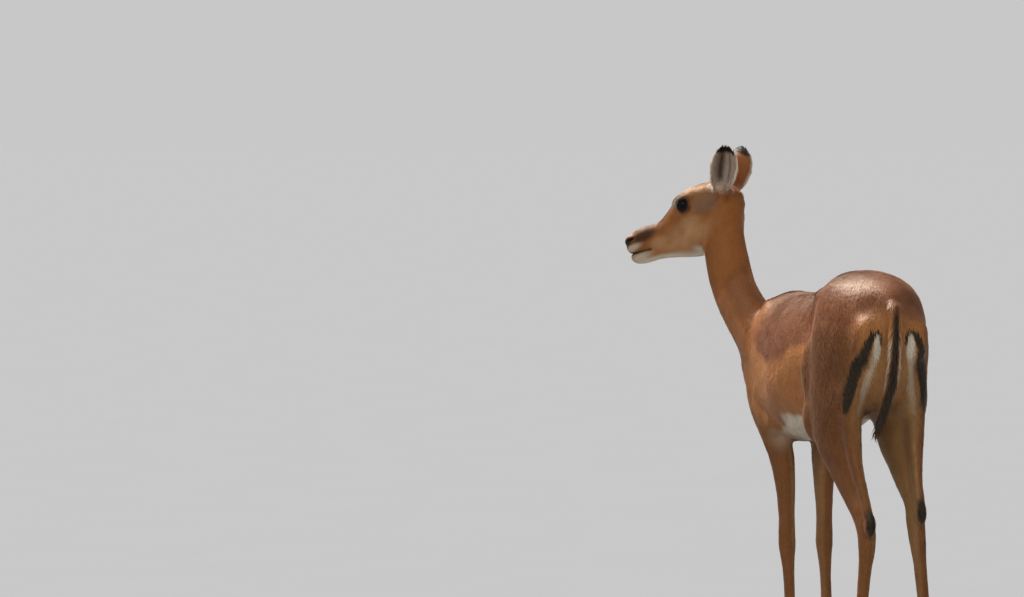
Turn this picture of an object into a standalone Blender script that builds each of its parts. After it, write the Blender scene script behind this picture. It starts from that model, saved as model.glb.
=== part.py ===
"""Life-size still model of an impala ewe that stands and looks over her left side.

Metres, +Z up. She faces -Y, her left side is +X, and the middle of her footprint is the origin.
The body is first laid out in body places (forward, left, up) from a point on the floor below her middle.
It is modelled whole, parted with thin cuts, and the eyes, ears, tail and hooves are fitted to it.
"""

import math

import bmesh
import bpy
import numpy as np

# Fits and resolution
GAP = 0.0003
VOXEL = 0.006
FLESH_TRIANGLES = 5500
RING_SPACING = 0.014
RING_POINTS = 28
SHARP_ANGLE = math.radians(50.0)

# Driving sizes of the ewe
RUMP_TOP = 0.857
BACK_TOP = 0.800
CORONET = 0.034
HEAD_YAW = math.radians(60.0)
HEAD_PITCH = math.radians(-28.0)
NOSE_PLACE = (0.585, 0.284, 0.894)
HEAD_SCALE = 1.05
HEAD_MIDDLE = (-0.13, 0.0, -0.02)
EYE_PLACE = (-0.149, 0.0335, 0.0105)
EYE_RADIUS = 0.0178
EAR_LENGTH = 0.109
EAR_THICKNESS = 0.0030
EAR_SHARES = np.linspace(-0.10, 1.0, 10)
EAR_SEAT_RINGS = 5
EAR_ARC_POINTS = 8
TAIL_SPACING = 0.024
TAIL_RING_POINTS = 12
EAR_WIDTHS = ((0.0, 0.12, 0.30, 0.50, 0.70, 0.85, 0.95, 1.0),
              (0.0160, 0.0200, 0.0285, 0.0335, 0.0300, 0.0200, 0.0110, 0.0050))
EAR_WRAPS = ((0.0, 0.15, 0.35, 0.60, 1.0), (150.0, 132.0, 92.0, 72.0, 60.0))
EAR_BOW = 0.010
EAR_SET_BACK = 0.012
EAR_PLACE = (-0.2285, 0.040, -0.006)
EAR_LEAN = {"left": (-0.60, 0.22, 0.85), "right": (-0.70, 0.36, 0.85)}
EAR_OPENING = {"left": (0.10, 1.0, 0.0), "right": (0.30, 1.0, 0.0)}
SOLE_LENGTH = 0.050
SOLE_WIDTH = 0.0185
CLAW_CLEFT = 0.0016
CLAW_OUTLINE_POINTS = 9
CLAWS_AHEAD = 0.006
TOES_OUT = math.radians(5.0)

# Levels of a claw: up, length and width as shares of the sole's, forward
CLAW_LEVELS = (
    (0.0, 1.0, 1.0, 0.004),
    (0.006, 1.0, 1.02, 0.001),
    (0.020, 0.86, 0.98, -0.005),
    (CORONET, 0.72, 0.93, -0.010),
)

# Where the feet stand: (forward, left) of each hoof's middle
FOREFOOT = {"left": (0.185, 0.042), "right": (0.240, -0.057)}
HINDFOOT = {"left": (-0.380, 0.066), "right": (-0.365, -0.088)}
HOCK_LIFT = {"left": -0.010, "right": 0.012}
SIDES = {"left": 1.0, "right": -1.0}

# Trunk stations: forward, left, top, widest level, bottom, half width, squareness
TRUNK = (
    (-0.436, 0.000, 0.775, 0.735, 0.690, 0.020, 2.0),
    (-0.420, 0.000, 0.803, 0.737, 0.650, 0.048, 2.0),
    (-0.390, 0.000, 0.828, 0.740, 0.605, 0.075, 2.1),
    (-0.340, 0.000, 0.846, 0.740, 0.577, 0.096, 2.3),
    (-0.280, 0.000, RUMP_TOP - 0.002, 0.738, 0.566, 0.106, 2.4),
    (-0.215, 0.000, RUMP_TOP, 0.725, 0.555, 0.105, 2.4),
    (-0.145, 0.000, 0.846, 0.695, 0.540, 0.097, 2.3),
    (-0.060, 0.000, 0.824, 0.665, 0.515, 0.104, 2.2),
    (0.040, 0.000, 0.806, 0.650, 0.499, 0.113, 2.1),
    (0.120, 0.000, BACK_TOP, 0.645, 0.487, 0.114, 2.1),
    (0.200, 0.000, 0.799, 0.642, 0.478, 0.107, 2.0),
    (0.280, 0.004, 0.796, 0.645, 0.479, 0.096, 2.0),
    (0.340, 0.014, 0.750, 0.650, 0.503, 0.082, 2.0),
    (0.388, 0.026, 0.716, 0.652, 0.554, 0.062, 2.0),
    (0.420, 0.032, 0.692, 0.652, 0.606, 0.028, 2.0),
)

# Neck stations: forward, left, up, half side, fore, aft, turn in degrees
NECK = (
    (0.250, 0.020, 0.640, 0.074, 0.108, 0.068, 0.0),
    (0.326, 0.058, 0.704, 0.054, 0.100, 0.048, 8.0),
    (0.392, 0.090, 0.785, 0.042, 0.070, 0.046, 18.0),
    (0.434, 0.1005, 0.850, 0.042, 0.057, 0.047, 30.0),
    (0.461, 0.105, 0.910, 0.040, 0.049, 0.046, 42.0),
    (0.475, 0.102, 0.965, 0.039, 0.047, 0.047, 54.0),
    (0.481, 0.099, 1.008, 0.036, 0.040, 0.041, 60.0),
)

# Left limb stations: forward, left, up, half side, fore, aft
FORELIMB = (
    (0.262, 0.046, 0.770, 0.020, 0.034, 0.034),
    (0.285, 0.057, 0.710, 0.030, 0.050, 0.052),
    (0.305, 0.063, 0.640, 0.035, 0.054, 0.066),
    (0.285, 0.064, 0.570, 0.035, 0.056, 0.074),
    (0.238, 0.058, 0.510, 0.032, 0.046, 0.056),
    (0.216, 0.047, 0.450, 0.027, 0.034, 0.038),
    (0.208, 0.042, 0.390, 0.0215, 0.026, 0.028),
    (0.206, 0.0405, 0.330, 0.0175, 0.0205, 0.0215),
    (0.208, 0.040, 0.292, 0.0180, 0.0195, 0.0195),
    (0.210, 0.0395, 0.262, 0.0185, 0.0205, 0.0200),
    (0.208, 0.039, 0.232, 0.0150, 0.0165, 0.0180),
    (0.205, 0.0385, 0.195, 0.0122, 0.0135, 0.0165),
    (0.203, 0.038, 0.145, 0.0118, 0.0130, 0.0165),
    (0.202, 0.038, 0.112, 0.0150, 0.0160, 0.0205),
    (0.209, 0.038, 0.086, 0.0145, 0.0155, 0.0175),
    (0.221, 0.038, 0.060, 0.0150, 0.0155, 0.0165),
    (0.231, 0.038, 0.038, 0.0185, 0.0190, 0.0195),
    (0.235, 0.038, 0.020, 0.0190, 0.0200, 0.0200),
)
HINDLIMB = (
    (-0.238, 0.050, 0.815, 0.036, 0.048, 0.056),
    (-0.246, 0.060, 0.745, 0.050, 0.082, 0.124),
    (-0.254, 0.064, 0.665, 0.051, 0.103, 0.145),
    (-0.246, 0.065, 0.590, 0.049, 0.104, 0.140),
    (-0.256, 0.066, 0.530, 0.043, 0.080, 0.108),
    (-0.296, 0.063, 0.475, 0.033, 0.050, 0.064),
    (-0.342, 0.058, 0.425, 0.0240, 0.034, 0.040),
    (-0.380, 0.054, 0.385, 0.0180, 0.025, 0.028),
    (-0.403, 0.049, 0.350, 0.0185, 0.023, 0.027),
    (-0.409, 0.049, 0.312, 0.0170, 0.0195, 0.0230),
    (-0.407, 0.052, 0.270, 0.0135, 0.0155, 0.0190),
    (-0.403, 0.056, 0.200, 0.0120, 0.0138, 0.0168),
    (-0.400, 0.058, 0.140, 0.0122, 0.0138, 0.0170),
    (-0.398, 0.059, 0.110, 0.0152, 0.0165, 0.0210),
    (-0.391, 0.060, 0.086, 0.0145, 0.0155, 0.0175),
    (-0.378, 0.060, 0.060, 0.0150, 0.0155, 0.0165),
    (-0.368, 0.060, 0.038, 0.0182, 0.0190, 0.0195),
    (-0.364, 0.060, 0.020, 0.0185, 0.0200, 0.0200),
)
ACHILLES = (
    (-0.352, 0.066, 0.610, 0.0240, 0.040, 0.034),
    (-0.362, 0.066, 0.550, 0.0210, 0.044, 0.026),
    (-0.382, 0.063, 0.480, 0.0140, 0.036, 0.017),
    (-0.410, 0.057, 0.425, 0.0105, 0.027, 0.012),
    (-0.433, 0.052, 0.376, 0.0105, 0.022, 0.012),
)
TAIL = (
    (-0.405, 0.000, 0.800, 0.0130, 0.0120, 0.0120),
    (-0.432, 0.001, 0.788, 0.0155, 0.0120, 0.0120),
    (-0.449, 0.003, 0.752, 0.0165, 0.0110, 0.0110),
    (-0.452, 0.006, 0.700, 0.0160, 0.0100, 0.0110),
    (-0.450, 0.011, 0.640, 0.0155, 0.0100, 0.0110),
    (-0.447, 0.024, 0.590, 0.0135, 0.0095, 0.0105),
    (-0.445, 0.036, 0.556, 0.0095, 0.0070, 0.0080),
    (-0.443, 0.043, 0.536, 0.0035, 0.0030, 0.0035),
)
FORELIMB_SWINGS_BELOW = 0.50
HINDLIMB_SWINGS_BELOW = 0.42
HOCK_HEIGHT = 0.37
HOCK_REACH = 0.11

# Head stations in head places (forward of the nose tip, up): forward, top, widest level, bottom, half width
SKULL = (
    (0.0110, -0.005, -0.010, -0.017, 0.0085),
    (0.0060, 0.004, -0.010, -0.024, 0.0150),
    (-0.003, 0.0120, -0.010, -0.028, 0.0195),
    (-0.014, 0.0165, -0.011, -0.032, 0.0220),
    (-0.027, 0.0180, -0.012, -0.035, 0.0235),
    (-0.045, 0.0165, -0.014, -0.041, 0.0245),
    (-0.073, 0.0100, -0.018, -0.048, 0.0275),
    (-0.098, 0.0175, -0.016, -0.056, 0.0340),
    (-0.122, 0.0295, -0.005, -0.062, 0.0410),
    (-0.145, 0.038, 0.006, -0.064, 0.0440),
    (-0.172, 0.041, 0.008, -0.064, 0.0440),
    (-0.205, 0.036, 0.003, -0.060, 0.0425),
    (-0.236, 0.020, -0.010, -0.056, 0.0370),
    (-0.256, -0.004, -0.022, -0.046, 0.0220),
)
JAW = (
    (0.0120, -0.028, -0.034, -0.040, 0.0080),
    (0.0065, -0.024, -0.035, -0.047, 0.0130),
    (-0.006, -0.022, -0.037, -0.0535, 0.0165),
    (-0.025, -0.022, -0.040, -0.0575, 0.0180),
    (-0.048, -0.024, -0.044, -0.0630, 0.0195),
    (-0.076, -0.025, -0.049, -0.0750, 0.0220),
    (-0.105, -0.022, -0.050, -0.0895, 0.0280),
    (-0.135, -0.018, -0.050, -0.100, 0.0320),
    (-0.165, -0.018, -0.050, -0.094, 0.0300),
    (-0.185, -0.018, -0.045, -0.074, 0.0220),
)

# Ellipsoids that round out the body, on both sides: name, place, radii
BODY_BULGES = (
    ("hock point", (-0.435, 0.051, 0.366), (0.0160, 0.0120, 0.026)),
    ("stifle", (-0.180, 0.082, 0.560), (0.046, 0.034, 0.060)),
    ("thigh front", (-0.172, 0.088, 0.655), (0.048, 0.030, 0.080)),
    ("hip bone", (-0.165, 0.072, 0.795), (0.034, 0.022, 0.026)),
    ("buttock", (-0.400, 0.050, 0.725), (0.036, 0.032, 0.058)),
    ("breast", (0.352, 0.030, 0.615), (0.036, 0.030, 0.052)),
    ("elbow", (0.200, 0.066, 0.525), (0.034, 0.022, 0.034)),
)
HEAD_BULGES = (
    ("brow", (-0.154, 0.0320, 0.0225), (0.032, 0.0190, 0.0150)),
    ("cheekbone", (-0.142, 0.0325, -0.013), (0.036, 0.0150, 0.0150)),
    ("masseter", (-0.148, 0.026, -0.052), (0.034, 0.0140, 0.034)),
    ("ear root", (-0.225, 0.027, 0.002), (0.021, 0.0165, 0.018)),
    ("nostril wing", (-0.004, 0.0130, 0.0015), (0.013, 0.0090, 0.0105)),
)

# Hollows and rises pressed into the flesh, on both sides: name, place, reach, depth (negative swells)
PRESSES = (
    ("flank hollow", (-0.118, 0.100, 0.750), 0.055, 0.018),
    ("flank fold", (-0.085, 0.105, 0.610), 0.050, 0.005),
    ("behind the shoulder", (0.150, 0.110, 0.640), 0.060, 0.006),
    ("before the shoulder", (0.365, 0.085, 0.700), 0.040, 0.004),
    ("thigh groove", (-0.345, 0.105, 0.640), 0.045, 0.007),
    ("beside the tail root", (-0.405, 0.045, 0.790), 0.030, 0.008),
    ("between the buttocks", (-0.440, 0.000, 0.700), 0.035, 0.012),
    ("loin", (-0.060, 0.050, 0.815), 0.050, 0.004),
    ("shoulder blade", (0.265, 0.085, 0.730), 0.050, -0.005),
    ("rib cage", (0.060, 0.112, 0.600), 0.090, -0.005),
)

# How far the fused flesh is smoothed, in metres: by height above the floor, on the neck, and along the head
SOFTNESS_BY_HEIGHT = ((0.0, 0.40, 0.50, 0.60), (0.0022, 0.0028, 0.010, 0.015))
NECK_SOFTNESS = 0.007
HEAD_SOFTNESS = ((-0.20, -0.10, -0.05), (0.0070, 0.0065, 0.0042))

# Thin cuts that part the body: place, facing, and size across, along and through
NECK_CUT = ((0.318, 0.024, 0.712), (0.74, 0.30, 0.60), (0.40, 0.50, GAP))
HEAD_CUT = ((-0.214, 0.0, -0.052), (0.62, 0.0, 0.78), (0.30, 0.30, GAP))
FORELEG_CUT = ((0.215, 0.055, 0.468), (0.0, 0.0, 1.0), (0.11, 0.20, GAP))
HINDLEG_CUT = ((-0.285, 0.075, 0.500), (0.0, 0.0, 1.0), (0.14, 0.30, GAP))
SOLE_CUT = ((0.0, 0.0, CORONET / 2 - 0.05), (0.0, 0.0, 1.0), (0.8, 1.6, CORONET + 0.1))

# Heights of a parted piece's middle that tell which node it is
LEGS_BELOW = 0.35
NECK_ABOVE = 0.75
HEAD_ABOVE = 0.92

# Materials: colour and roughness
BROWN_FUR = ("brown_fur", (0.33, 0.165, 0.075), 0.8)
EAR_FUR = ("ear_fur", (0.62, 0.52, 0.40), 0.8)
TAIL_FUR = ("tail_fur", (0.20, 0.095, 0.045), 0.8)
HOOF_HORN = ("hoof_horn", (0.018, 0.016, 0.015), 0.35)
WET_EYE = ("wet_eye", (0.012, 0.007, 0.005), 0.05)


def clear_scene():
    for old in list(bpy.data.objects):
        bpy.data.objects.remove(old, do_unlink=True)


def to_world(places):
    """Turns body places (forward, left, up) into Blender's x, y, z."""
    places = np.atleast_2d(np.asarray(places, dtype=float))
    return np.column_stack((places[:, 1], -places[:, 0], places[:, 2]))


def head_axes():
    """The head's forward, left and up directions, in body places."""
    forward = np.array((
        math.cos(HEAD_YAW) * math.cos(HEAD_PITCH),
        math.sin(HEAD_YAW) * math.cos(HEAD_PITCH),
        math.sin(HEAD_PITCH),
    ))
    left = np.array((-math.sin(HEAD_YAW), math.cos(HEAD_YAW), 0.0))
    return np.array((forward, left, np.cross(forward, left)))


def from_head(places):
    """Turns head places (forward of the nose, left, up) into body places."""
    places = np.atleast_2d(np.asarray(places, dtype=float))
    return np.array(NOSE_PLACE) + HEAD_SCALE * places @ head_axes()


def to_head(places):
    """Turns body places into head places."""
    return (np.atleast_2d(places) - np.array(NOSE_PLACE)) @ head_axes().T / HEAD_SCALE


def mirrored(places, side):
    """Body or head places with their left value turned to the given side."""
    return np.atleast_2d(np.asarray(places, dtype=float)) * (1.0, side, 1.0)


def spline(rows, spacing):
    """A Catmull-Rom curve through rows of numbers, whose first three are the place along the curve."""
    rows = np.asarray(rows, dtype=float)
    padded = np.vstack((2 * rows[0] - rows[1], rows, 2 * rows[-1] - rows[-2]))
    out = []
    for i in range(len(rows) - 1):
        before, start, end, after = padded[i:i + 4]
        steps = max(1, round(float(np.linalg.norm(end[:3] - start[:3])) / spacing))
        for t in np.arange(steps) / steps:
            out.append(0.5 * (
                2 * start
                + (end - before) * t
                + (2 * before - 5 * start + 4 * end - after) * t ** 2
                + (3 * start - before - 3 * end + after) * t ** 3
            ))
    out.append(rows[-1])
    return np.array(out)


def power_ring(square, count):
    """Cosines and sines of a ring, squared off by a superellipse's power."""
    angles = np.arange(count) * 2 * math.pi / count
    cosine, sine = np.cos(angles), np.sin(angles)
    bend = 2.0 / square
    return np.sign(cosine) * np.abs(cosine) ** bend, np.sign(sine) * np.abs(sine) ** bend


def loft(centres, across, ahead, half_side, fore, aft, square, count=RING_POINTS):
    """A closed tube of rings: half_side along across, fore and aft along ahead."""
    points = []
    for i, centre in enumerate(centres):
        side_part, ahead_part = power_ring(square[i], count)
        reach = np.where(ahead_part > 0, fore[i], aft[i])
        ring = centre + np.outer(side_part * half_side[i], across[i]) + np.outer(ahead_part * reach, ahead[i])
        points.append(ring)
    rings = len(points)
    points = np.vstack(points + [centres[:1], centres[-1:]])
    faces = []
    for i in range(rings - 1):
        for j in range(count):
            k = (j + 1) % count
            faces.append((i * count + j, i * count + k, (i + 1) * count + k, (i + 1) * count + j))
    first, last = rings * count, rings * count + 1
    for j in range(count):
        k = (j + 1) % count
        faces.append((first, k, j))
        faces.append((last, (rings - 1) * count + j, (rings - 1) * count + k))
    return points, faces


def tangents(centres):
    steps = np.gradient(centres, axis=0)
    return steps / np.linalg.norm(steps, axis=1)[:, None]


def limb_loft(rows, turn=None, spacing=RING_SPACING, count=RING_POINTS):
    """A tube whose fore side faces forward, or is turned left by the degrees in column turn."""
    dense = spline(rows, spacing)
    centres = dense[:, :3]
    along = tangents(centres)
    angle = np.radians(dense[:, turn]) if turn else np.zeros(len(dense))
    forward = np.column_stack((np.cos(angle), np.sin(angle), np.zeros(len(dense))))
    across = np.cross(along, forward)
    across /= np.linalg.norm(across, axis=1)[:, None]
    ahead = np.cross(across, along)
    round_section = np.full(len(dense), 2.0)
    return loft(centres, across, ahead, dense[:, 3], dense[:, 4], dense[:, 5], round_section, count)


def level_loft(rows):
    """A tube along forward: forward, left, top, widest level, bottom, half width, squareness."""
    rows = np.asarray(rows, dtype=float)
    dense = spline(rows[:, (0, 1, 3, 2, 4, 5, 6)], RING_SPACING)
    centres, top, bottom, half_width, square = dense[:, :3], dense[:, 3], dense[:, 4], dense[:, 5], dense[:, 6]
    across = np.tile((0.0, 1.0, 0.0), (len(dense), 1))
    ahead = np.tile((0.0, 0.0, 1.0), (len(dense), 1))
    return loft(centres, across, ahead, half_width, top - centres[:, 2], centres[:, 2] - bottom, square)


def ellipsoid(place, radii, count=20):
    """A closed ball, squeezed to three radii."""
    turn = np.linspace(0.06 * math.pi, 0.94 * math.pi, count // 2)
    centres = np.array([place]) + np.outer(-np.cos(turn) * radii[0], (1.0, 0.0, 0.0))
    across = np.tile((0.0, 1.0, 0.0), (len(turn), 1))
    ahead = np.tile((0.0, 0.0, 1.0), (len(turn), 1))
    level = np.sin(turn)
    return loft(centres, across, ahead, level * radii[1], level * radii[2], level * radii[2],
                np.full(len(turn), 2.0), count)


def swung(rows, limb, foot, below, hock_lift=0.0):
    """Rows of a limb led to where its foot stands; the shift grows from nothing at the height below."""
    rows = np.array(rows, dtype=float)
    share = np.clip((below - rows[:, 2]) / below, 0.0, 1.0)
    rows[:, 0] += share * (foot[0] - limb[-1][0])
    rows[:, 1] += share * (abs(foot[1]) - limb[-1][1])
    rows[:, 2] += hock_lift * np.exp(-((rows[:, 2] - HOCK_HEIGHT) / HOCK_REACH) ** 2)
    return rows


def flesh_shells():
    """Every shell of the body, in body places, before they are fused."""
    shells = [level_loft(TRUNK), limb_loft(NECK, turn=6)]
    for side_name, side in SIDES.items():
        fore = (FORELIMB, FOREFOOT[side_name], FORELIMB_SWINGS_BELOW)
        hind = (HINDLIMB, HINDFOOT[side_name], HINDLIMB_SWINGS_BELOW, HOCK_LIFT[side_name])
        for rows in (swung(FORELIMB, *fore), swung(HINDLIMB, *hind), swung(ACHILLES, *hind)):
            points, faces = limb_loft(rows)
            shells.append((mirrored(points, side), faces))
        for name, place, radii in BODY_BULGES:
            points, faces = ellipsoid(swung([place], *hind)[0] if name == "hock point" else place, radii)
            shells.append((mirrored(points, side), faces))
        for name, place, radii in HEAD_BULGES:
            points, faces = ellipsoid(place, radii)
            shells.append((from_head(mirrored(points, side)), faces))
    for rows, square in ((SKULL, 2.2), (JAW, 2.1)):
        full = [(forward, 0.0, *levels, square) for forward, *levels in rows]
        points, faces = level_loft(full)
        shells.append((from_head(points), faces))
    return shells


def head_share(places):
    """1 on the head, falling to 0 down the neck."""
    distance = np.linalg.norm(places - from_head(HEAD_MIDDLE), axis=1)
    return np.interp(distance, (0.145, 0.22), (1.0, 0.0))


def softness(places):
    """How far the fused body is smoothed at each place, in metres."""
    up = places[:, 2]
    soft = np.interp(up, *SOFTNESS_BY_HEIGHT)
    on_neck = np.interp(up, (0.70, 0.75), (0.0, 1.0)) * np.interp(places[:, 0], (0.26, 0.31), (0.0, 1.0))
    soft = soft * (1 - on_neck) + NECK_SOFTNESS * on_neck
    share = head_share(places)
    on_head = np.interp(to_head(places)[:, 0], *HEAD_SOFTNESS)
    return soft * (1 - share) + on_head * share


def smoothed(points, edges, soft, voxel):
    """Laplacian smoothing whose reach in metres doesn't change with the mesh's fineness."""
    rounds = math.ceil(4.0 * float(soft.max()) ** 2 / voxel ** 2)
    pull = (2.0 * soft ** 2 / (rounds * voxel ** 2))[:, None]
    start, end = edges[:, 0], edges[:, 1]
    count = len(points)
    valence = np.bincount(edges.ravel(), minlength=count)[:, None]
    for _ in range(rounds):
        total = np.empty_like(points)
        for axis in range(3):
            total[:, axis] = np.bincount(start, weights=points[end, axis], minlength=count)
            total[:, axis] += np.bincount(end, weights=points[start, axis], minlength=count)
        points = points + pull * (total / valence - points)
    return points


def pressed(points, normals):
    """Pushes the hollows into the surface and lifts the rises, on both sides."""
    push = np.zeros(len(points))
    for _, place, reach, depth in PRESSES:
        for side in SIDES.values():
            distance = np.linalg.norm(points - mirrored(place, side), axis=1)
            share = depth * np.exp(-(distance / reach) ** 2)
            push += share if place[1] else share / 2
    return points - normals * push[:, None]


def mesh_from(name, points, faces):
    mesh = bpy.data.meshes.new(name)
    mesh.from_pydata([tuple(p) for p in points], [], [tuple(f) for f in faces])
    mesh.update()
    return mesh


def object_from(name, points, faces):
    item = bpy.data.objects.new(name, mesh_from(name, points, faces))
    bpy.context.collection.objects.link(item)
    return item


def applied(item):
    """Replaces the object's mesh with what its modifiers make of it."""
    graph = bpy.context.evaluated_depsgraph_get()
    mesh = bpy.data.meshes.new_from_object(item.evaluated_get(graph))
    item.modifiers.clear()
    item.data = mesh
    return item


def mesh_points(mesh):
    points = np.empty(len(mesh.vertices) * 3)
    mesh.vertices.foreach_get("co", points)
    return points.reshape(-1, 3)


def make_flesh():
    """Fuses the shells into one body, smooths and presses it, and brings it down to a few thousand faces."""
    points, faces, first = [], [], 0
    for shell_points, shell_faces in flesh_shells():
        points.append(shell_points)
        faces += [tuple(i + first for i in face) for face in shell_faces]
        first += len(shell_points)
    flesh = object_from("flesh", to_world(np.vstack(points)), faces)
    remesh = flesh.modifiers.new("fuse", "REMESH")
    remesh.mode = "VOXEL"
    remesh.voxel_size = VOXEL
    mesh = applied(flesh).data

    edges = np.empty(len(mesh.edges) * 2, dtype=int)
    mesh.edges.foreach_get("vertices", edges)
    world = mesh_points(mesh)
    places = np.column_stack((-world[:, 1], world[:, 0], world[:, 2]))
    places = smoothed(places, edges.reshape(-1, 2), softness(places), VOXEL)
    mesh.vertices.foreach_set("co", to_world(places).ravel())
    mesh.update()
    normals = np.empty(len(mesh.vertices) * 3)
    mesh.vertex_normals.foreach_get("vector", normals)
    normals = normals.reshape(-1, 3)
    places = pressed(places, np.column_stack((-normals[:, 1], normals[:, 0], normals[:, 2])))
    mesh.vertices.foreach_set("co", to_world(places).ravel())
    mesh.update()

    decimate = flesh.modifiers.new("lighten", "DECIMATE")
    decimate.ratio = FLESH_TRIANGLES / (2.0 * len(mesh.polygons))
    return applied(flesh)


def box_cutter(name, centre, normal, size):
    """A thin box: centre and normal in body places, size across, along and through."""
    normal = to_world(normal)[0]
    normal /= np.linalg.norm(normal)
    level = np.cross(normal, (0.0, 0.0, 1.0))
    if np.linalg.norm(level) < 1e-6:
        level = np.array((1.0, 0.0, 0.0))
    level /= np.linalg.norm(level)
    rise = np.cross(normal, level)
    axes = np.array((level, rise, normal))
    corners = [
        to_world(centre)[0] + 0.5 * np.array(signs) * size @ axes
        for signs in ((-1, -1, -1), (1, -1, -1), (1, 1, -1), (-1, 1, -1),
                      (-1, -1, 1), (1, -1, 1), (1, 1, 1), (-1, 1, 1))
    ]
    faces = ((0, 3, 2, 1), (4, 5, 6, 7), (0, 1, 5, 4), (1, 2, 6, 5), (2, 3, 7, 6), (3, 0, 4, 7))
    return object_from(name, corners, faces)


def facing_out(item):
    """Turns the object's faces so that all face outward."""
    edit = bmesh.new()
    edit.from_mesh(item.data)
    bmesh.ops.recalc_face_normals(edit, faces=edit.faces)
    edit.to_mesh(item.data)
    edit.free()
    return item


def cut(item, cutter):
    """Takes the cutter out of the object and removes the cutter."""
    facing_out(cutter)
    boolean = item.modifiers.new("cut", "BOOLEAN")
    boolean.operation = "DIFFERENCE"
    boolean.solver = "EXACT"
    boolean.object = cutter
    applied(item)
    bpy.data.objects.remove(cutter, do_unlink=True)


def part_cuts():
    """The thin cuts that part the body, in body places."""
    place, facing, size = HEAD_CUT
    cuts = [NECK_CUT, (from_head(place)[0], np.array(facing) @ head_axes(), size), SOLE_CUT]
    for side in SIDES.values():
        for place, facing, size in (FORELEG_CUT, HINDLEG_CUT):
            cuts.append((mirrored(place, side)[0], facing, size))
    return cuts


def loose_parts(item):
    """Splits the object's mesh into its loose pieces and gives them as new objects."""
    edit = bmesh.new()
    edit.from_mesh(item.data)
    edit.verts.ensure_lookup_table()
    seen, pieces = set(), []
    for start in edit.verts:
        if start.index in seen:
            continue
        piece, front = [], [start]
        seen.add(start.index)
        while front:
            vert = front.pop()
            piece.append(vert)
            for edge in vert.link_edges:
                other = edge.other_vert(vert)
                if other.index not in seen:
                    seen.add(other.index)
                    front.append(other)
        pieces.append(piece)
    objects = []
    for piece in pieces:
        order = {vert.index: i for i, vert in enumerate(piece)}
        faces = {face for vert in piece for face in vert.link_faces}
        listed = sorted(faces, key=lambda face: face.index)
        objects.append(object_from(
            "piece",
            [tuple(vert.co) for vert in piece],
            [tuple(order[vert.index] for vert in face.verts) for face in listed],
        ))
    edit.free()
    bpy.data.objects.remove(item, do_unlink=True)
    return objects


def name_of_piece(item):
    """The node that a loose piece of flesh belongs to, told from its middle."""
    points = mesh_points(item.data)
    middle = (points.min(axis=0) + points.max(axis=0)) / 2
    forward, left, up = -middle[1], middle[0], middle[2]
    if up < LEGS_BELOW:
        limb = "foreleg" if forward > 0 else "hindleg"
        return f"{limb}_left" if left > 0 else f"{limb}_right"
    if up > HEAD_ABOVE:
        return "head"
    return "neck" if up > NECK_ABOVE else "trunk"


def make_eye(side_name):
    points, faces = ellipsoid(EYE_PLACE, (EYE_RADIUS / HEAD_SCALE,) * 3, 14)
    return object_from(f"eye_{side_name}", to_world(from_head(mirrored(points, SIDES[side_name]))), faces)


def ear_frame(side_name):
    """An ear's base place and its up, out (where it opens) and side directions, in body places."""
    side = SIDES[side_name]
    base = from_head(mirrored(EAR_PLACE, side))[0]
    up = mirrored(EAR_LEAN[side_name], side)[0] @ head_axes()
    up /= np.linalg.norm(up)
    opening = mirrored(EAR_OPENING[side_name], side)[0] @ head_axes()
    opening -= up * opening.dot(up)
    opening /= np.linalg.norm(opening)
    return base, up, opening, np.cross(up, opening)


def ear_section(share):
    """The ear's half width, wrap angle and backward bow at a share of its length."""
    half_width = np.interp(share, *EAR_WIDTHS)
    wrap = math.radians(np.interp(share, *EAR_WRAPS))
    bow = EAR_BOW * math.sin(math.pi * share)
    return half_width, wrap, bow


def ear_rings(side_name, wall):
    """Rings from below an ear's root to its tip: its outer arc, then its inner arc, the wall's thickness inside."""
    base, up, opening, across = ear_frame(side_name)
    loops = []
    for share in EAR_SHARES:
        half_width, wrap, bow = ear_section(max(share, 0.0))
        radius = half_width / math.sin(min(wrap, math.pi / 2))
        centre = base + up * share * EAR_LENGTH + opening * (radius * 0.6 - bow - EAR_SET_BACK)
        turn = np.linspace(-wrap, wrap, EAR_ARC_POINTS)[:, None]
        arc = -np.cos(turn) * opening + np.sin(turn) * across
        loops.append(np.vstack((centre + arc * radius, centre + arc[::-1] * (radius - wall))))
    return loops


def rings_object(name, loops):
    """A closed solid of triangles from rings of equal length, each end filled in strips across it."""
    count = len(loops[0])
    faces = []
    for i in range(len(loops) - 1):
        for j in range(count):
            k = (j + 1) % count
            low_left, low_right = i * count + j, i * count + k
            high_left, high_right = low_left + count, low_right + count
            faces += [(low_left, low_right, high_right), (low_left, high_right, high_left)]
    for start in (0, (len(loops) - 1) * count):
        for j in range(count // 2 - 1):
            faces.append(tuple(start + i for i in (j, j + 1, count - 2 - j, count - 1 - j)))
    return facing_out(object_from(name, to_world(np.vstack(loops)), faces))


def make_ear(side_name):
    return rings_object(f"ear_{side_name}", ear_rings(side_name, EAR_THICKNESS))


def ear_seat(side_name):
    """The pocket in the head that takes the ear's root: its outer arcs, grown by the gap and closed across."""
    loops = []
    for ring in ear_rings(side_name, EAR_THICKNESS)[:EAR_SEAT_RINGS]:
        outer = ring[:EAR_ARC_POINTS]
        middle = (outer[0] + outer[-1]) / 2
        reach = np.linalg.norm(outer - middle, axis=1).max()
        loops.append(middle + (outer - middle) * (1 + 2 * GAP / reach))
    loops[0] = loops[0] - GAP * ear_frame(side_name)[1]
    return rings_object("ear_seat", loops)


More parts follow.
